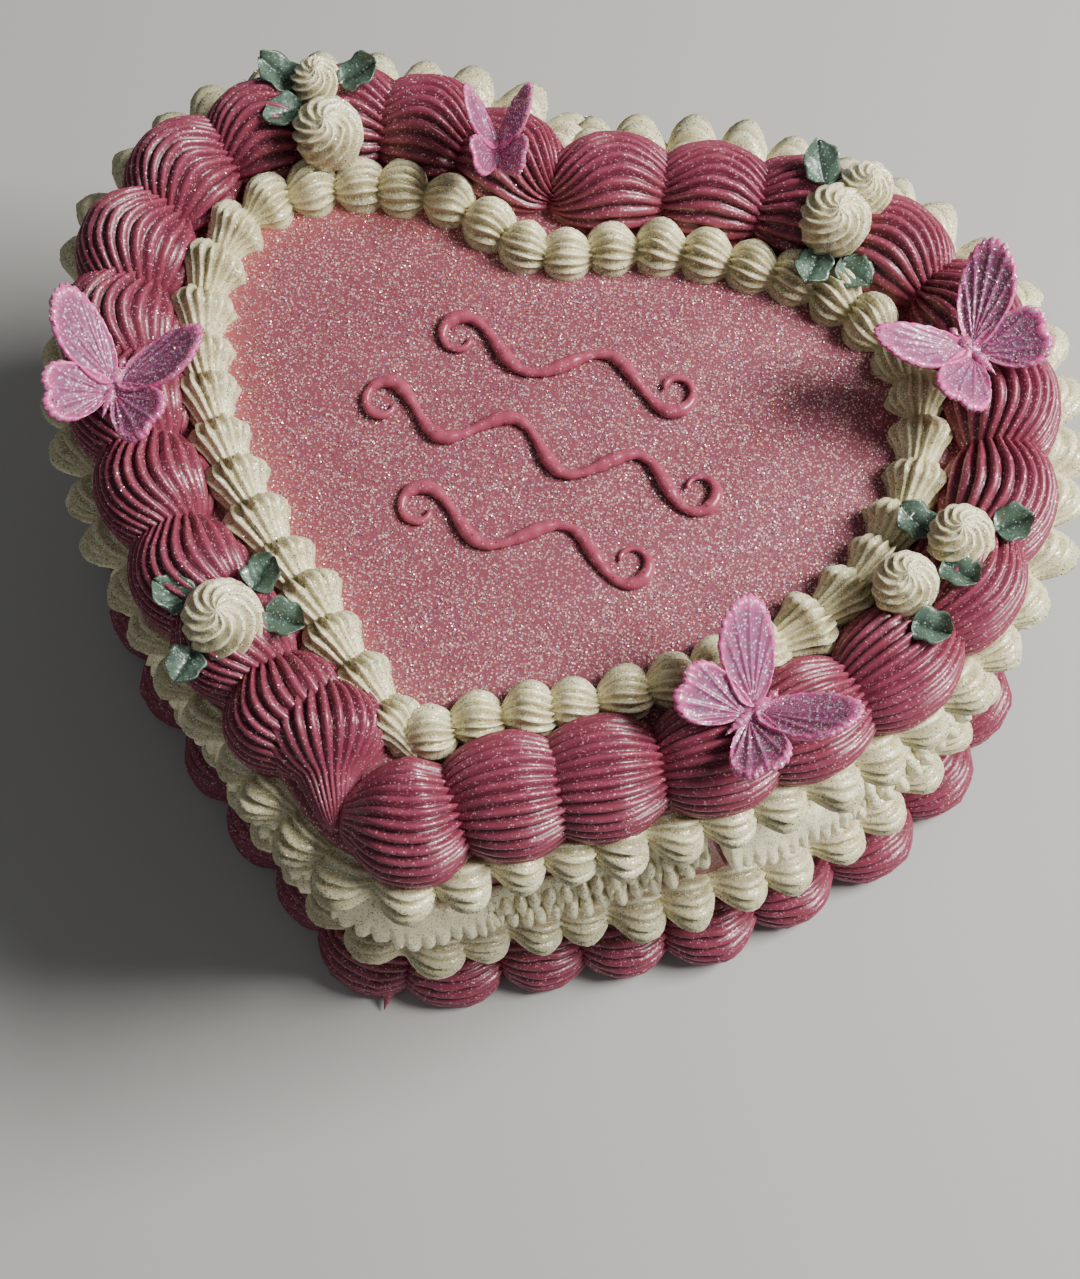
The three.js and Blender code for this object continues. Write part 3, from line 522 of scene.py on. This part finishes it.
def pleat_lobes(builder, start, end, seed, pitch, ribbon):
    """The pleats' folds: a row of small lobes over a row of larger ones that hang."""
    random = np.random.default_rng(seed)
    s = start + (end - start) * (ribbon + 0.03)
    while s < end - 0.6 * pitch:
        t = (s - start) / (end - start)
        level = float(swag_level(t))
        grow = float(smoothstep(ribbon - 0.02, ribbon + 0.12, t) * smoothstep(1.01, 0.93, t))
        a, b, c, d = random.uniform(-1, 1, 4)
        lobe_ball(builder, s + 0.4 * a, level - SWAG_DROP * 0.24 + 0.5 * b, 3.3 + 0.5 * c,
                  (0.5 * pitch, 3.2 * (0.6 + 0.4 * grow), 2.7), 0.15 * d, seed)
        lobe_ball(builder, s + 0.25 * pitch + 0.4 * c, level - SWAG_DROP * 0.67 + 0.6 * d,
                  4.7 + 0.5 * a, (0.54 * pitch, 4.2 * (0.6 + 0.4 * grow), 4.1), 0.12 * b, seed + 1)
        s += pitch * (1 + 0.08 * b)


def swag_spans():
    for i in range(2 * SWAGS_EACH_SIDE):
        on_right = i < SWAGS_EACH_SIDE
        low = SWAG_START if on_right else NOTCH_PLACE + NOTCH_SPACE
        high = NOTCH_PLACE - NOTCH_SPACE if on_right else SIDE_LOOP.length + SWAG_START
        pitch = (high - low) / SWAGS_EACH_SIDE
        start = low + (i % SWAGS_EACH_SIDE) * pitch + SWAG_SPACE / 2
        yield i + 1, start, start + pitch - SWAG_SPACE


# --------------------------------------------------------------------------- toppings


def rosette(builder, x, y, radius, seed):
    """A star-piped rosette: ridges that sweep round a low dome to its small peak."""
    random = np.random.default_rng(seed)
    rows, columns, arms = 28, 80, 10
    t = np.linspace(0, 1, rows)[:, None]
    angle = np.linspace(0, 2 * np.pi, columns, endpoint=False)[None, :]
    reach = np.cos(np.pi / 2 * t ** 1.2) ** 0.8 * (1 - 0.14 * (1 - t) ** 5)
    height = np.sin(np.pi / 2 * t ** 0.8) ** 0.95
    spiral = 2.5 * t ** 0.95 + random.uniform(0, 6)
    angle = angle + spiral
    valley = np.abs(np.sin(arms * (angle - spiral) / 2)) ** 0.85
    depth = 0.23 * (1 - t ** 5) * (0.3 + 0.7 * smoothstep(0, 0.4, t))
    lip = 0.06 * np.cos(angle - random.uniform(0, 6)) * (1 - t)
    r = radius * 1.04 * (reach + lip) * (1 - depth * valley)
    peak = radius * 0.12 * t ** 2
    lean = random.uniform(0, 2 * np.pi)
    px = x + r * np.cos(angle) + peak * math.cos(lean)
    py = y + r * np.sin(angle) + peak * math.sin(lean)
    top = ROSETTE_HEIGHT * radius / ROSETTE_RADIUS
    foot = 0.3 * top
    curl = 0.9 * smoothstep(0.88, 1, t)
    z = ROSETTE_BASE - foot + (top + foot) * height + curl - 0.55 * depth * valley * radius
    points = np.dstack([px, py, z])
    points[..., 2] += lumps(points, 5, seed) * 0.15
    points[..., :2] += (lumps(points, 3, seed + 50) * 0.12)[..., None]
    # The last value paints shade into the ridges' valleys.
    builder.add(points, grid_faces(rows, columns, True), valley * (1 - t ** 3))


def surface_under(tree, x, y, default):
    """The height of the piping under a point of the heart's frame."""
    hit = tree.ray_cast(Vector(((x + ORIGIN[0]) * MM, (y + ORIGIN[1]) * MM, 1)), Vector((0, 0, -1)))
    return hit[0].z / MM if hit[0] is not None else default


def leaf(builder, root, tip, rise, tree, seed):
    """A thin leaf with a sunk vein and wavy edges, lying on the piping with its tip up."""
    random = np.random.default_rng(seed)
    rows, columns = 19, 13
    root, tip = vec(root), vec(tip)
    length = tip - root
    side = vec([-length[1], length[0]]) / np.linalg.norm(length)
    u = np.linspace(0, 1, rows)[:, None]
    v = np.linspace(-1, 1, columns)[None, :]
    width = LEAF_HALF_WIDTH * (0.14 + np.sin(np.pi * u ** 0.8) ** 0.7) * (1 + 0.12 * np.sin(11 * u))
    place = root + length * u[..., None] + side * (v * width)[..., None]
    ground = max(surface_under(tree, *(root + length * a + side * b * LEAF_HALF_WIDTH), 118) - rise * a
                 for a in (0.1, 0.35, 0.6, 0.9) for b in (-0.5, 0, 0.5))
    fold = 1.7 * np.abs(v) ** 1.4 * (1 - 0.3 * u)
    veins = 0.3 * np.abs(np.sin(np.pi * (5 * u - 1.8 * np.abs(v)))) ** 2 * (np.abs(v) > 0.08)
    wave = 0.75 * np.sin(7 * u + random.uniform(0, 6) + 2 * v) * np.abs(v) ** 1.5
    cup = 1.44 * (u - 0.5) ** 2 * (1 - np.abs(v))
    z = ground + 0.4 + rise * u ** 1.4 + fold + wave + cup - veins - 0.6 * np.exp(-(v / 0.14) ** 2)
    upper = np.dstack([place, z])
    lower = upper - vec([0, 0, LEAF_THICKNESS])
    ring = np.concatenate([upper, lower[:, ::-1]], axis=1)
    # Painted shade along the sunk middle vein of the upper face.
    groove = np.concatenate([np.exp(-(v / 0.2) ** 2) + 0 * u, 0 * u * v], axis=1)
    builder.add(ring, grid_faces(rows, 2 * columns, True), groove)
    start = builder.count - ring.shape[0] * ring.shape[1]
    for row in (0, rows - 1):
        base = start + row * 2 * columns
        cap = [[base + k, base + k + 1, base + 2 * columns - 2 - k, base + 2 * columns - 1 - k]
               for k in range(columns - 1)]
        builder.faces.append(np.array(cap))


FOREWING = [(0.6, 3), (4.2, 9.4), (9.6, 13.6), (15, 15.4), (18.6, 14.6), (20, 12), (19.6, 9),
            (18.2, 5.8), (14.4, 2.4), (8.6, 0.4), (3, -0.2)]
HINDWING = [(0.6, 1.2), (6.6, 1.6), (12.4, 0.4), (15.4, -2.2), (15.6, -5.4), (13.8, -7.4),
            (13.4, -10), (10, -11.6), (6.4, -10.6), (3.6, -8), (1.6, -4.4)]
FOREWING_VEINS = (0.95, 0.78, 0.6, 0.42, 0.24)  # headings, in radians
HINDWING_VEINS = (-0.1, -0.4, -0.7, -1, -1.25)


def closed_curve(points, count):
    """A smooth closed curve through a few points."""
    points = vec(points)
    n = len(points)
    t = np.linspace(0, n, count, endpoint=False)
    i = t.astype(int)
    f = (t - i)[:, None]
    a, b, c, d = (points[(i + k) % n] for k in (-1, 0, 1, 2))
    return 0.5 * (2 * b + (c - a) * f + (2 * a - 5 * b + 4 * c - d) * f ** 2
                  + (3 * b - a - 3 * c + d) * f ** 3)


def wing(builder, outline, veins, lift, hand, raised, transform):
    """A moulded wing with a raised rim and veins that fan out from its root. hand is 1 on the
    right and -1 on the left."""
    count, rings = 64, 12
    edge = closed_curve(outline, count)
    root = vec(outline[0]) * 0.6 + vec(outline[-1]) * 0.4
    away = edge - root
    away = away * (1 + 0.02 * np.sin(np.arange(count) * 2.1))[:, None]
    k = np.linspace(0, 1, rings)[:, None, None] ** 0.8
    flat = root + away[None] * k
    reach = k[..., 0]
    bearing = np.arctan2(away[:, 1], away[:, 0])[None, :]
    distance = np.linalg.norm(away, axis=1)[None, :] * (1 - reach)
    rim = np.exp(-(distance / 1.7) ** 2)
    vein = np.zeros((rings, count))
    for heading in veins:
        off = np.angle(np.exp(1j * (bearing - heading))) * reach * np.linalg.norm(away, axis=1)
        vein = np.maximum(vein, np.exp(-(off / 0.34) ** 2) * (reach > 0.12))
    beads = 0.14 * np.sin(np.arange(count) * 2.1)[None, :] * rim
    height = 0.5 + 0.6 * rim + 0.24 * vein + beads - 0.25 * (1 - rim) * (1 - vein)
    height = height * (1 - smoothstep(0.965, 1, reach) * 0.8)
    cup = 0.007 * flat[..., 0] ** 2
    upper = np.dstack([flat[..., 0] * hand, flat[..., 1], height + cup + lift])
    lower = np.dstack([flat[..., 0] * hand, flat[..., 1], -0.45 + cup + lift + 0 * height])
    tilt = Matrix.Rotation(-hand * math.radians(raised), 4, "Y")
    both = np.concatenate([upper, lower[::-1]])
    matrix = np.array(transform @ tilt)
    both = both @ matrix[:3, :3].T + matrix[:3, 3]
    colour = np.concatenate([np.maximum(rim ** 0.6 * 1.5, 0.3 * vein), np.ones((rings, count))])
    builder.add(both, grid_faces(2 * rings, count, True), colour)


def butterfly(builder, middle, heading, raises, scale):
    place = (Matrix.Translation(middle)
             @ Matrix.Rotation(math.radians(heading - 90), 4, "Z") @ Matrix.Scale(scale, 4))
    for hand, raised in zip((1, -1), raises):
        wing(builder, FOREWING, FOREWING_VEINS, 0.15, hand, raised, place)
        wing(builder, HINDWING, HINDWING_VEINS, -0.15, hand, raised, place)
    rows, columns = 40, 16
    u = np.linspace(0, 1, rows)[:, None]
    angle = np.linspace(0, 2 * np.pi, columns, endpoint=False)[None, :]
    y_axis = 7.2 - 14 * u
    head = np.exp(-((u - 0.08) / 0.07) ** 2) * 0.95
    thorax = np.exp(-((u - 0.33) / 0.15) ** 2) * 1.6
    tail = np.exp(-((u - 0.68) / 0.2) ** 2) * 1.25 * (1 + 0.14 * np.sin(70 * u))
    girth = np.maximum(np.maximum(head, thorax), tail) * smoothstep(0, 0.03, u)
    girth = girth * smoothstep(1, 0.96, u) + 0.01
    body = np.dstack([girth * np.cos(angle), y_axis + 0 * angle, girth * np.sin(angle) + 0.6])
    matrix = np.array(place)
    body = body @ matrix[:3, :3].T + matrix[:3, 3]
    builder.add(body, grid_faces(rows, columns, True), 0.8 + 0 * u * angle)


def scroll(builder, x, y, length, slant, flip, bends):
    """A piped scroll, a wave whose ends curl, with the beading that a small tip leaves."""
    wave_height, wave_share, curl, tightening, turn_by = 4.4, 0.66, 5, 0.6, 1.6 * np.pi
    t = np.linspace(0, 1, 420)
    side = np.where(t < 0.5, -1, 1)
    along = np.abs(2 * t - 1)
    wave = np.minimum(along / wave_share, 1)
    curled = np.maximum(0, along - wave_share) / (1 - wave_share)
    turn = turn_by * curled
    radius = curl * (1 - tightening * curled)
    upward = np.sign(np.sin(bends * np.pi / 2))
    across = side * (wave * (length / 2 - curl) + radius * np.sin(turn))
    up = side * flip * (wave_height * np.sin(wave * bends * np.pi / 2)
                        - upward * (curl - radius * np.cos(turn)) * (curled > 0))
    cos, sin = math.cos(math.radians(slant)), math.sin(math.radians(slant))
    path = np.column_stack([x + across * cos - up * sin, y + across * sin + up * cos])
    line = Line(path, 1)
    s = np.linspace(0, line.length, 320)[:, None]
    point, normal, _ = line.at(s[:, 0])
    columns = 14
    angle = np.linspace(0, 2 * np.pi, columns, endpoint=False)[None, :]
    end = smoothstep(0, 1.6, s) * smoothstep(line.length, line.length - 1.6, s)
    stroke = 0.86 + 0.2 * np.sin(s * 0.42 + x) + 0.04 * np.sin(s * 1.9)
    thin_end = 0.45 + 0.55 * smoothstep(0, 14, s) * smoothstep(line.length, line.length - 14, s)
    r = SCROLL_RADIUS * stroke * thin_end * (0.05 + 0.95 * end ** 0.5)
    place = point[:, None] + normal[:, None] * (r * np.cos(angle))[..., None]
    z = CAKE_HEIGHT + SCROLL_LIFT + r * np.sin(angle)
    # The last value paints shade on the underside of the pipe.
    builder.add(np.dstack([place, z]), grid_faces(len(s), columns, True),
                np.maximum(0, -np.sin(angle)) + 0 * s)


def iced_body(builder):
    """The cake itself: a smoothed top, a softly rounded edge and a smoothed side."""
    loop = SIDE_LOOP.at(np.linspace(0, SIDE_LOOP.length, 240, endpoint=False))[0]
    centre = vec([0, 5])

    def ring(share, z):
        return np.column_stack([centre + (loop - centre) * share, np.full(len(loop), z)])

    rings = [ring(FLAT_SHARE * share, CAKE_HEIGHT) for share in np.linspace(0.001, 1, 32)]
    for turn in np.linspace(0, math.pi / 2, 6)[1:]:
        share = FLAT_SHARE + (1 - FLAT_SHARE) * math.sin(turn)
        rings.append(ring(share, CAKE_HEIGHT - EDGE_ROUND * (1 - math.cos(turn))))
    rings += [ring(1, z) for z in np.linspace(CAKE_HEIGHT - EDGE_ROUND - 0.1, 0, 24)]
    rings.append(ring(0.001, 0))
    points = np.stack(rings)
    uneven = lumps(points, 38, 3) * 0.22 + lumps(points, 14, 4) * 0.06
    top = (points[..., 2] > CAKE_HEIGHT - 0.5)
    points[..., 2] += np.where(top, uneven, 0)
    edge = offset_loop(FIELD_EDGE).points
    flat = points.reshape(-1, 3)[:, :2]
    distance = np.linalg.norm(flat[:, None] - edge[None, ::4], axis=-1).min(1)
    # A painted coral glow of reflected light on the top, near the left of the field's edge.
    painted_glow = np.exp(-distance / 5).reshape(top.shape) * smoothstep(0, -50, points[..., 0])
    builder.add(points, grid_faces(len(rings), len(loop), True), np.where(top, painted_glow, 0))


# -------------------------------------------------------------------------- materials


def linear(r, g, b):
    """A screen colour, 0 to 255, as the light values that a shader takes."""
    out = []
    for value in (r, g, b):
        value = value / 255
        out.append(value / 12.92 if value <= 0.04045 else ((value + 0.055) / 1.055) ** 2.4)
    return (*out, 1)


class Nodes:
    """A material's node tree. What feeds an input is a value or another node's output."""

    def __init__(self, name):
        self.material = bpy.data.materials.new(name)
        self.material.use_nodes = True
        self.tree = self.material.node_tree
        self.shader = self.tree.nodes["Principled BSDF"]

    def feed(self, node, inputs):
        for key, value in inputs.items():
            if isinstance(value, bpy.types.NodeSocket):
                self.tree.links.new(value, node.inputs[key])
            else:
                node.inputs[key].default_value = value

    def add(self, kind, inputs=(), **settings):
        node = self.tree.nodes.new(kind)
        for key, value in settings.items():
            setattr(node, key, value)
        self.feed(node, dict(inputs))
        return node

    def math(self, operation, a, b):
        return self.add("ShaderNodeMath", {0: a, 1: b}, operation=operation).outputs[0]

    def mix(self, factor, a, b):
        return self.add("ShaderNodeMix", {0: factor, 6: a, 7: b}, data_type="RGBA").outputs[2]

    def ramp(self, factor, colours):
        """A ramp through screen colours in even steps."""
        node = self.add("ShaderNodeValToRGB", {"Fac": factor})
        elements = node.color_ramp.elements
        stops = [(i / (len(colours) - 1), linear(*colour)) for i, colour in enumerate(colours)]
        elements[0].position, elements[0].color = stops[0]
        elements[1].position, elements[1].color = stops[-1]
        for position, colour in stops[1:-1]:
            elements.new(position).color = colour
        return node.outputs["Color"]


# How far the per-vertex value mixes in the painted shade, painted glow and tint colours.
PAINTED_LIGHT_AND_TINT_SHARE = 0.85
SPECK_REACH = 0.46
SPECK_METAL = 0.35


def icing(name, light, dark, groove, roughness, dust, specks, bump=0.25, cell=2300):
    """Buttercream: painted shade that deepens the colour in the grooves (a painted glow on the field,
    and the wings' own pink tint instead), fine pits, and specks of glitter.
    dust is the share of the surface's cells that hold a speck, in one of several colours."""
    nodes = Nodes(name)
    place = nodes.add("ShaderNodeTexCoord").outputs["Object"]
    cloud = nodes.add(
        "ShaderNodeTexNoise", {"Vector": place, "Scale": 55, "Detail": 4, "Roughness": 0.6})
    colour = nodes.mix(cloud.outputs["Fac"], linear(*dark), linear(*light))
    # The per-vertex value paints shade into grooves and hollows by mixing towards the third colour.
    depth = nodes.add("ShaderNodeAttribute", attribute_name="groove").outputs["Fac"]
    colour = nodes.mix(nodes.math("MULTIPLY", depth, PAINTED_LIGHT_AND_TINT_SHARE), colour, linear(*groove))
    cells = nodes.add("ShaderNodeTexVoronoi", {"Vector": place, "Scale": cell, "Randomness": 1})
    near = nodes.math("LESS_THAN", cells.outputs["Distance"], SPECK_REACH)
    draws = nodes.add("ShaderNodeSeparateColor", {0: cells.outputs["Color"]})
    chosen = nodes.math("LESS_THAN", draws.outputs[0], dust)
    speck = nodes.math("MULTIPLY", near, chosen)
    colour = nodes.mix(speck, colour, nodes.ramp(draws.outputs[1], specks))
    fine = nodes.add(
        "ShaderNodeTexNoise", {"Vector": place, "Scale": 900, "Detail": 3, "Roughness": 0.6})
    pits = fine.outputs["Fac"]
    sheen = nodes.add("ShaderNodeMapRange", {
        0: pits, 1: 0.3, 2: 0.7, 3: roughness - 0.07, 4: roughness + 0.1})
    relief = nodes.add("ShaderNodeBump", {"Height": pits, "Strength": bump, "Distance": 0.0002})
    nodes.feed(nodes.shader, {
        "Base Color": colour, "Metallic": nodes.math("MULTIPLY", speck, SPECK_METAL),
        "Roughness": sheen.outputs[0], "Normal": relief.outputs["Normal"],
        "Subsurface Weight": 0.1, "Subsurface Radius": (1, 0.45, 0.35),
        "Subsurface Scale": 0.002})
    return nodes.material


def flake(name, colours):
    """Glitter flakes in several tints, one for each flake."""
    nodes = Nodes(name)
    tint = nodes.add("ShaderNodeAttribute", attribute_name="tint").outputs["Fac"]
    nodes.feed(nodes.shader, {
        "Base Color": nodes.ramp(tint, colours), "Metallic": 0.55, "Roughness": 0.3})
    return nodes.material


SALT_AND_PEPPER = [(88, 84, 56), (255, 252, 236), (146, 138, 96), (255, 254, 244),
                   (204, 192, 142), (255, 246, 205), (112, 108, 80), (255, 252, 236)]
ROSE_SPECKS = [(100, 34, 56), (214, 150, 165), (150, 62, 88), (190, 104, 124), (235, 195, 205)]
FIELD_SPECKS = [(120, 72, 88), (236, 190, 190), (168, 96, 108), (140, 92, 120), (216, 160, 142),
                (150, 84, 98), (250, 222, 214), (186, 124, 146)]
GREEN_SPECKS = [(36, 54, 46), (130, 155, 140), (60, 82, 72), (205, 218, 205)]
WING_SPECKS = [(96, 52, 84), (232, 178, 210), (150, 92, 130), (214, 110, 166), (250, 226, 236),
               (132, 160, 176), (170, 110, 120)]
# Each icing's third colour is painted shade for its grooves, vein and undersides; the field's coral is
# a painted glow, and the wings' pink is their own rim colour.
ROSE = icing("rose_icing", (150, 68, 88), (129, 52, 72), (54, 14, 27), 0.33, 0.3, ROSE_SPECKS)
IVORY = icing("ivory_icing", (255, 250, 212), (246, 236, 184), (140, 126, 74), 0.4, 0.8,
              SALT_AND_PEPPER, cell=2600)
FIELD = icing("pink_icing", (146, 74, 88), (127, 60, 75), (186, 92, 88), 0.42, 0.75,
              FIELD_SPECKS, bump=0.2, cell=2000)
GEL = icing("scroll_icing", (172, 82, 104), (152, 64, 84), (110, 38, 54), 0.25, 0.2,
            ROSE_SPECKS, bump=0.1)
LEAF = icing("leaf_icing", (98, 122, 106), (60, 82, 70), (28, 42, 36), 0.34, 0.5, GREEN_SPECKS)
WING = icing("wing_icing", (150, 88, 124), (124, 64, 100), (222, 96, 160), 0.34, 0.7,
             WING_SPECKS, cell=1700)

# ------------------------------------------------------------------------- the pieces

body = Builder()
iced_body(body)
body = body.piece("iced_cake", FIELD, "sponge_side_icing", ["cake_body"])
rose_top = border(ROSE_TOP, 1, TIP_FAN).piece(
    "rose_top_shells", ROSE, "rose_icing", ["rose_top_border"])
ivory_inner = border(IVORY_INNER, 2).piece(
    "ivory_inner_shells", IVORY, "ivory_icing", ["ivory_inner_border"])
ivory_upper = border(IVORY_UPPER, 3).piece(
    "ivory_upper_shells", IVORY, "ivory_icing", ["ivory_upper_border"])
ivory_lower = border(IVORY_LOWER, 4).piece(
    "ivory_lower_shells", IVORY, "ivory_icing", ["ivory_lower_border"])
base_shells = border(ROSE_BASE, 5)
pulled_tip(base_shells, BASE_SPIKE)
for points in base_shells.points:
    points[:, 2] = np.maximum(points[:, 2], BASE_FLOOR)
rose_base = base_shells.piece("rose_base_shells", ROSE, "rose_icing", ["rose_base_border"])

swags, echoes = [], []
for number, start, end in swag_spans():
    garland = Builder()
    ruffle(garland, start, end, number, **SWAG_RUFFLE)
    pleat_lobes(garland, start, end, number, PLEAT_PITCH, RIBBON_SHARE)
    swags.append(garland.piece(
        f"ruffled_swag_{number}", IVORY, "ivory_icing", [f"swag_{number}"]))
    trim = Builder()
    ruffle(trim, start, end, number + 20, **ECHO_RUFFLE)
    echoes.append(trim.piece(
        f"rose_ruffle_{number}", ROSE, "rose_icing", [f"swag_echo_{number}"]))

rosettes = []
for number, (x, y, radius) in enumerate(ROSETTES, 1):
    swirl = Builder()
    rosette(swirl, x, y, radius, number)
    rosettes.append(swirl.piece(f"swirl_{number}", IVORY, "ivory_icing", [f"rosette_{number}"]))


def tree_of(objects):
    """A search tree over several objects' faces, for finding what lies on top."""
    points, faces, base = [], [], 0
    for made in objects:
        mesh = made.data
        points += [vertex.co.copy() for vertex in mesh.vertices]
        faces += [[base + k for k in polygon.vertices] for polygon in mesh.polygons]
        base += len(mesh.vertices)
    return BVHTree.FromPolygons(points, faces)


border_tree = tree_of([body, rose_top, ivory_inner, ivory_upper])
leaves = []
for number, (root, tip, rise) in enumerate(LEAVES, 1):
    blade = Builder()
    leaf(blade, root, tip, rise, border_tree, number)
    leaves.append(blade.piece(f"blade_{number}", LEAF, "leaf_icing", [f"leaf_{number}"]))

insects = []
for number, placing in enumerate(BUTTERFLIES, 1):
    insect = Builder()
    butterfly(insect, *placing)
    insects.append(insect.piece(
        f"moulded_butterfly_{number}", WING, "wing_icing", [f"butterfly_{number}"]))

for number, placing in enumerate(SCROLLS, 1):
    piped = Builder()
    scroll(piped, **placing)
    piped.piece(f"piped_scroll_{number}", GEL, "scroll_icing", [f"scroll_{number}"])

# ---------------------------------------------------------------------------- glitter


def face_samples(made, count, random):
    """Random places on an object's upper faces, with their normals, spread by area."""
    mesh = made.data
    size = len(mesh.polygons)
    centres = np.empty(size * 3)
    normals = np.empty(size * 3)
    areas = np.empty(size)
    mesh.polygons.foreach_get("center", centres)
    mesh.polygons.foreach_get("normal", normals)
    mesh.polygons.foreach_get("area", areas)
    centres, normals = centres.reshape(-1, 3), normals.reshape(-1, 3)
    weight = areas * np.clip(normals[:, 2] + 0.35, 0.05, 1)
    chosen = random.choice(size, count, p=weight / weight.sum())
    spread = np.sqrt(areas[chosen])[:, None] * random.uniform(-0.5, 0.5, (count, 3))
    spread -= normals[chosen] * np.sum(spread * normals[chosen], 1)[:, None]
    return centres[chosen] + spread, normals[chosen]


def field_samples(count, random):
    """Random places on the open field inside the borders."""
    edge = offset_loop(FIELD_EDGE).points
    low, high = edge.min(0), edge.max(0)
    places = random.uniform(low, high, (3 * count, 2))
    ahead = np.roll(edge, -1, axis=0)
    inside = np.zeros(len(places), bool)
    for a, b in zip(edge, ahead):
        if a[1] != b[1]:
            spans = (a[1] > places[:, 1]) != (b[1] > places[:, 1])
            cross = a[0] + (places[:, 1] - a[1]) * (b[0] - a[0]) / (b[1] - a[1])
            inside ^= spans & (places[:, 0] < cross)
    places = places[inside][:count]
    height = np.full(len(places), CAKE_HEIGHT + FLAKE_LIFT)
    points = np.column_stack([places + ORIGIN, height]) * MM
    return points, np.tile([0.0, 0.0, 1.0], (len(points), 1))


def scatter(name, on_field, sources, material, seed, size, tilt):
    """Small four-sided flakes lying on the icing, each tilted its own way."""
    random = np.random.default_rng(seed)
    found = [field_samples(on_field, random)]
    found += [face_samples(made, count, random) for made, count in sources]
    places = np.concatenate([place for place, _ in found])
    normals = np.concatenate([normal for _, normal in found])
    count = len(places)
    lean = normals + random.normal(size=(count, 3)) * tilt
    lean /= np.linalg.norm(lean, axis=1)[:, None]
    first = np.cross(lean, random.normal(size=(count, 3)))
    first /= np.linalg.norm(first, axis=1)[:, None]
    second = np.cross(lean, first)
    half = random.uniform(*size, count)[:, None] * MM / 2
    middle = places + normals * 0.14 * MM
    along = half * (first + second * FLAKE_SHAPE)
    across = half * (second - first * FLAKE_SHAPE)
    corners = np.stack([middle + along, middle + across, middle - along, middle - across], 1)
    flakes = Builder()
    flakes.add(corners / MM - np.array([*ORIGIN, 0]), np.arange(4 * count).reshape(-1, 4),
               np.repeat(random.uniform(0, 1, count), 4))
    flakes.piece(name, material, "sponge_side_icing", vertex_value_name="tint")


def each(pieces, count):
    return [(made, count) for made in pieces]


SILVER = flake("silver_flakes", [(252, 250, 246), (205, 200, 205), (250, 242, 226), (150, 142, 150),
                                 (255, 252, 250), (230, 214, 216)])
TINTED = flake("tinted_flakes", [
    (238, 180, 110), (235, 120, 120), (205, 130, 215), (96, 90, 200), (80, 170, 150), (240, 220, 110),
    (60, 48, 60), (250, 150, 90)])
silver = [(rose_top, 11000), (ivory_inner, 6000), (ivory_upper, 6000), (ivory_lower, 3500),
          (rose_base, 6000)]
silver += each(swags, 900) + each(echoes, 250) + each(rosettes, 300) + each(leaves, 120)
silver += each(insects, 2200)
tinted = [(rose_top, 6000), (ivory_inner, 2500), (ivory_upper, 2500), (ivory_lower, 1500),
          (rose_base, 3500)]
tinted += each(swags, 350) + each(rosettes, 160) + each(insects, 1100)
scatter("silver_glitter", 12000, silver, SILVER, 31, size=(0.18, 0.34), tilt=0.3)
scatter("tinted_glitter", 9000, tinted, TINTED, 32, size=(0.18, 0.32), tilt=0.35)

# --------------------------------------------------------------------- camera, lights

IMAGE_HEIGHT = 1279
FOCAL_PIXELS = 2160
SENSOR = 36
CAMERA_PLACE = vec([37.76, -166.34, 543.75])
CAMERA_RIGHT = vec([0.97855, 0.20600, -0.00357])
CAMERA_DOWN = vec([0.19545, -0.93367, -0.30011])
CAMERA_FORWARD = vec([-0.06515, 0.29297, -0.95390])

camera = bpy.data.objects.new("camera", bpy.data.cameras.new("camera"))
bpy.context.scene.collection.objects.link(camera)
camera.data.lens = FOCAL_PIXELS * SENSOR / IMAGE_HEIGHT
camera.data.sensor_width = SENSOR
camera.data.clip_end = 20
turn = Matrix([CAMERA_RIGHT, -CAMERA_DOWN, -CAMERA_FORWARD]).transposed().to_4x4()
place = (CAMERA_PLACE + vec([*ORIGIN, 0])) * MM
camera.matrix_world = Matrix.Translation(place) @ turn
bpy.context.scene.camera = camera


def area_light(name, place, target, width, height, watts, colour):
    light = bpy.data.lights.new(name, "AREA")
    light.shape = "RECTANGLE"
    light.size, light.size_y = width, height
    light.energy = watts
    light.color = colour
    lamp = bpy.data.objects.new(name, light)
    lamp.location = place
    lamp.rotation_euler = (Vector(target) - Vector(place)).to_track_quat("-Z", "Y").to_euler()
    bpy.context.scene.collection.objects.link(lamp)


area_light("window", (0.76, 0.26, 0.92), (0, 0, 0.08), 0.5, 0.45, 29, (1, 0.98, 0.945))
area_light("fill", (-0.5, -1.0, 1.2), (0, 0, 0.08), 1.2, 1.2, 0.8, (0.95, 0.97, 1))

world = bpy.data.worlds.new("studio")
world.use_nodes = True
world.node_tree.nodes["Background"].inputs["Color"].default_value = (0.8, 0.82, 0.85, 1)
world.node_tree.nodes["Background"].inputs["Strength"].default_value = 0.17
bpy.context.scene.world = world

FLOOR_REACH = 6
corners = [(x * FLOOR_REACH, y * FLOOR_REACH, 0) for x, y in ((-1, -1), (1, -1), (1, 1), (-1, 1))]
floor_mesh = bpy.data.meshes.new("floor")
floor_mesh.from_pydata(corners, [], [(0, 1, 2, 3)])
floor = bpy.data.objects.new("floor", floor_mesh)
bpy.context.scene.collection.objects.link(floor)
pale = Nodes("pale_floor")
pale.feed(pale.shader, {"Base Color": linear(178, 178, 175), "Roughness": 0.75})
floor_mesh.materials.append(pale.material)
